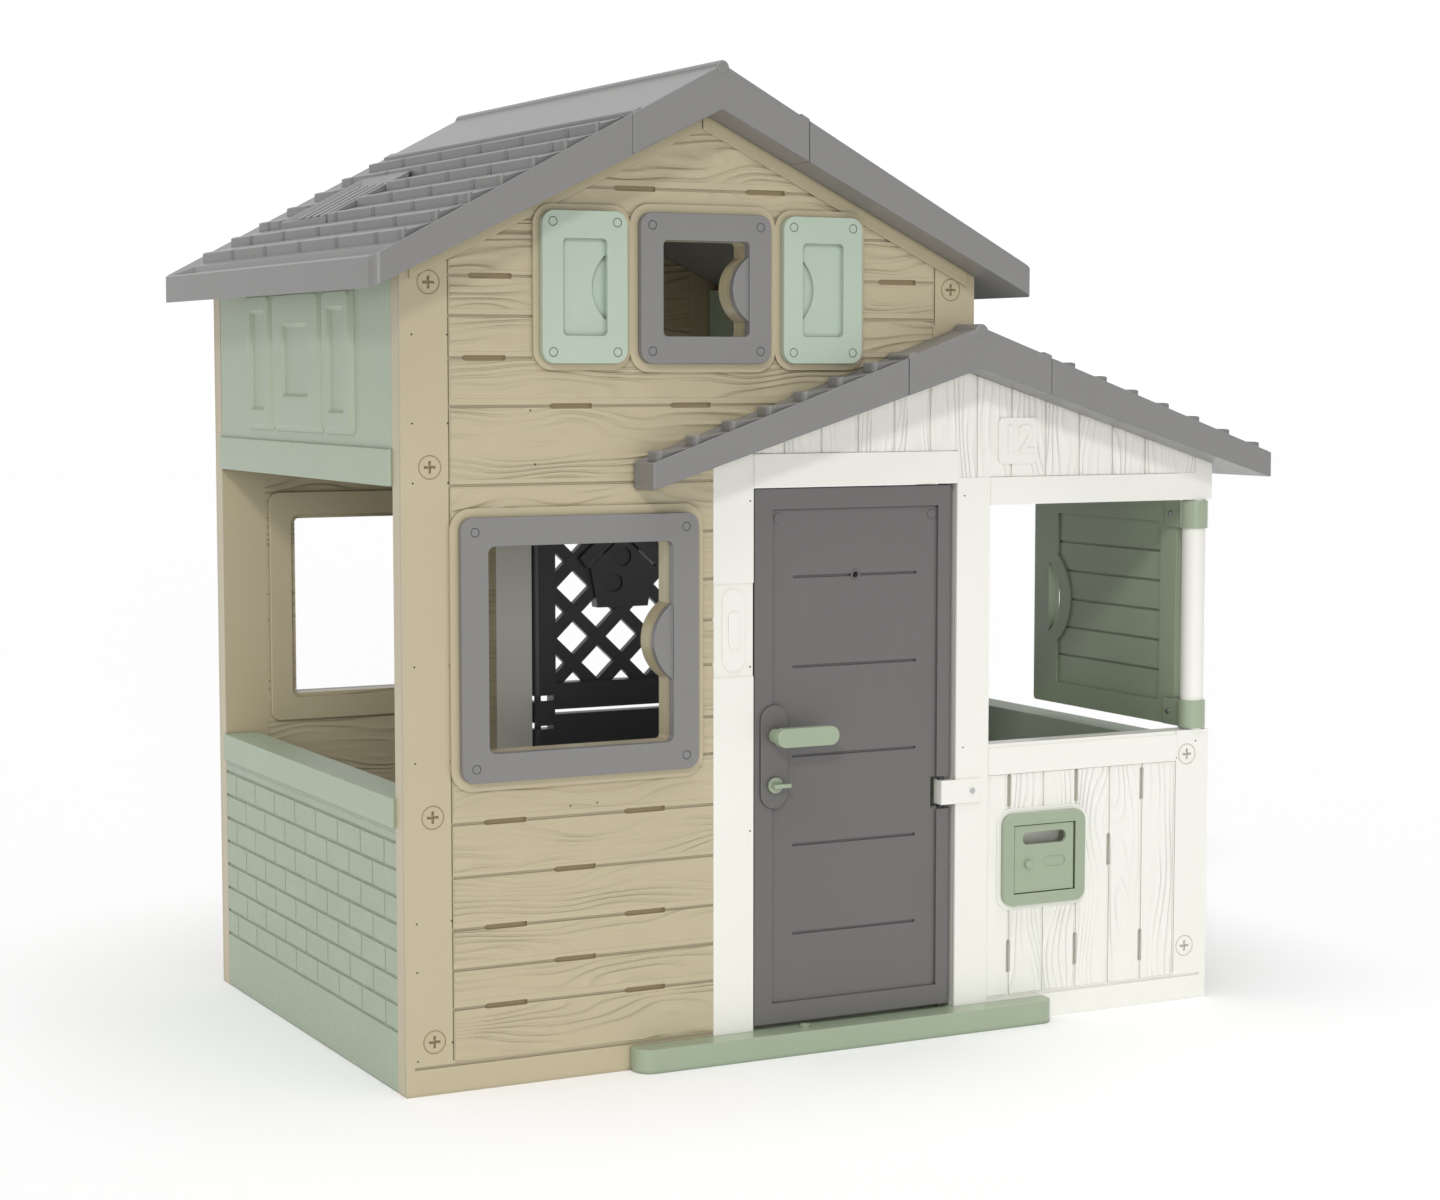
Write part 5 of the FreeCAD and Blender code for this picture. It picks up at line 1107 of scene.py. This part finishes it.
# %% Hinge cover
cover = block("rear_hinge_cover", (655, 958.5, 474), (699, 963.5, 526))
edit(cover, "FACE")
choose(cover, "polygons", lambda item, at: item.normal.y < -0.5)
bpy.ops.mesh.inset(thickness=0.005)
bpy.ops.transform.translate(value=(0, 0.0015, 0))
bpy.ops.object.mode_set(mode="OBJECT")
stand = block("stand", (656, 962, 477), (664, 971, 523))
cover = join("rear_hinge_cover", [round_edges(cover, 1.5, 3), round_edges(stand, 1.5, 2)])
dress(cover, "dark")
print("hinge cover done")

# %% [markdown]
# Blow moulding leaves tiny vent marks where air escaped from the tool.  One pit is a short
# cone, near black as a painted shade of the pit, with its wide end just proud of the wall;
# the others are copies.

# %% Vent marks
POST_VENTS = (292, 560, 720, 1022, 1120, 1265)
VENTS = {
    "tan": ([(20, z) for z in (60, 210) + POST_VENTS]
            + [(82, z) for z in (86,) + POST_VENTS]
            + [(300, 470), (350, 472), (238, 1050), (230, 1140), (560, 1480), (870, 1250)]),
    "white": [(645, 980), (645, 690), (645, 400), (760, 1042), (800, 1042), (1085, 980),
              (1085, 520), (1565, 470), (1190, 488), (1330, 490), (1500, 490), (1610, 500)],
}
for look, marks in VENTS.items():
    bpy.ops.object.select_all(action="DESELECT")
    bpy.ops.mesh.primitive_cone_add(vertices=12, radius1=0.0016, radius2=0.0008, depth=0.002,
                                    location=spot(0, 0.7, 0), rotation=(-math.pi / 2, 0, 0))
    seed = settle(bpy.context.object)
    pits = [copy_of(seed, (x, 0, z)) for x, z in marks]
    bpy.data.objects.remove(seed)
    pits = join("vent_marks_" + look, pits)
    dress(pits, "pit_shade")
print("vents", {look: len(marks) for look, marks in VENTS.items()})

# %% [markdown]
# The annexe wears a house number on its small plate.  Text is made a mesh, given a little
# thickness, and set on the plate like a cast numeral.

# %% House number
bpy.ops.object.select_all(action="DESELECT")
PLATE_MIDDLE = spot(1198, -2.4, 1078)
bpy.ops.object.text_add(location=PLATE_MIDDLE, rotation=(math.pi / 2, 0, 0))
number = bpy.context.object
number.data.body = "12"
number.data.align_x = "CENTER"
number.data.align_y = "CENTER"
number.data.size = 0.07
number.data.extrude = 0.0022
number.data.offset = 0.0012
number.data.bevel_depth = 0.0006
bpy.ops.object.convert(target="MESH")
number = settle(bpy.context.object)
number.name = "house_number"
bpy.ops.object.shade_smooth_by_angle(angle=math.radians(40))
dress(number, "white")
print("number", len(number.data.polygons), "faces")

# %% [markdown]
# The door panel has two small round blanking studs near its top corners, and a ring lines
# the peephole.  Studs start as cylinders, the ring as a torus.

# %% Door studs and peephole ring
studs = []
for x in (703, 1019):
    bpy.ops.object.select_all(action="DESELECT")
    bpy.ops.mesh.primitive_cylinder_add(vertices=24, radius=0.008, depth=0.002,
                                        location=spot(x, 7.1, 948), rotation=(math.pi / 2, 0, 0))
    studs.append(round_edges(settle(bpy.context.object), 0.6, 2))
bpy.ops.object.select_all(action="DESELECT")
bpy.ops.mesh.primitive_torus_add(major_radius=0.0075, minor_radius=0.0022, major_segments=32,
                                 minor_segments=10, location=spot(861, 7.6, 844),
                                 rotation=(math.pi / 2, 0, 0))
ring = settle(bpy.context.object)
bpy.ops.object.shade_smooth()
dress(join("door_studs", studs + [ring]), "door", "front_door")
print("door studs", len(studs))

# %% [markdown]
# ## Light, floor and camera
# A white studio: a wide pale floor and an even sky, a broad light from the upper left that
# models the relief, one straight down that lifts the roofs, and a weak low one from the
# front.  Sun lamps with a wide disc are used because they light the whole floor alike.  The
# sky is brighter to the camera and in reflections than as a lamp: the backdrop is then
# white, gloss has something to mirror, and the shade under the eaves stays.

# %% Studio
bpy.ops.object.select_all(action="DESELECT")
bpy.ops.mesh.primitive_plane_add(size=60, location=(0, 0, 0))
floor = bpy.context.object
floor.name = "studio_floor"
ground = bpy.data.materials.new("pale_floor")
ground.use_nodes = True
paint = ground.node_tree.nodes["Principled BSDF"]
paint.inputs["Base Color"].default_value = (0.99, 0.99, 0.99, 1)
paint.inputs["Roughness"].default_value = 0.9
floor.data.materials.append(ground)

sky = bpy.data.worlds.new("studio_sky")
sky.use_nodes = True
backdrop = sky.node_tree.nodes["Background"]
backdrop.inputs["Color"].default_value = (1, 1, 1, 1)
SKY_LIGHT, SKY_SEEN, SKY_MIRRORED = 0.27, 0.78, 0.5
ray = add_node(sky.node_tree, "ShaderNodeLightPath")
seen = maths(sky.node_tree, "MULTIPLY_ADD", ray.outputs["Is Camera Ray"], SKY_SEEN, SKY_LIGHT)
total = maths(sky.node_tree, "MULTIPLY_ADD", ray.outputs["Is Glossy Ray"], SKY_MIRRORED, seen)
sky.node_tree.links.new(total, backdrop.inputs["Strength"])
bpy.context.scene.world = sky
bpy.context.scene.view_settings.view_transform = "Standard"


def lamp(name, toward, spread, strength):
    """A broad lamp that shines along one direction."""
    bpy.ops.object.light_add(type="SUN", location=(0, 0, 5))
    obj = bpy.context.object
    obj.name = name
    obj.data.angle = math.radians(spread)
    obj.data.energy = strength
    obj.rotation_euler = Vector(toward).to_track_quat("-Z", "Y").to_euler()
    return obj


lamp("key_light", (0.46, 0.66, -0.5), 8, 0.85)
lamp("top_light", (0.05, 0.1, -1), 50, 1.8)
lamp("fill_light", (0.3, 0.95, -0.12), 14, 0.48)
print("lit")

# %% [markdown]
# The camera stands to the left, a little above the door, with a long lens, so that the
# walls keep their proportions and the upright lines stay nearly upright.

# %% Camera
eye = bpy.data.cameras.new("portrait_camera")
eye.lens = 69.4
eye.sensor_width = 36.0
camera = bpy.data.objects.new("portrait_camera", eye)
bpy.context.scene.collection.objects.link(camera)
camera.location = (-2.443, -4.766, 1.209)
camera.rotation_euler = (math.radians(85.24), 0, math.radians(-27.38))
bpy.context.scene.camera = camera
print("camera at", tuple(camera.location))
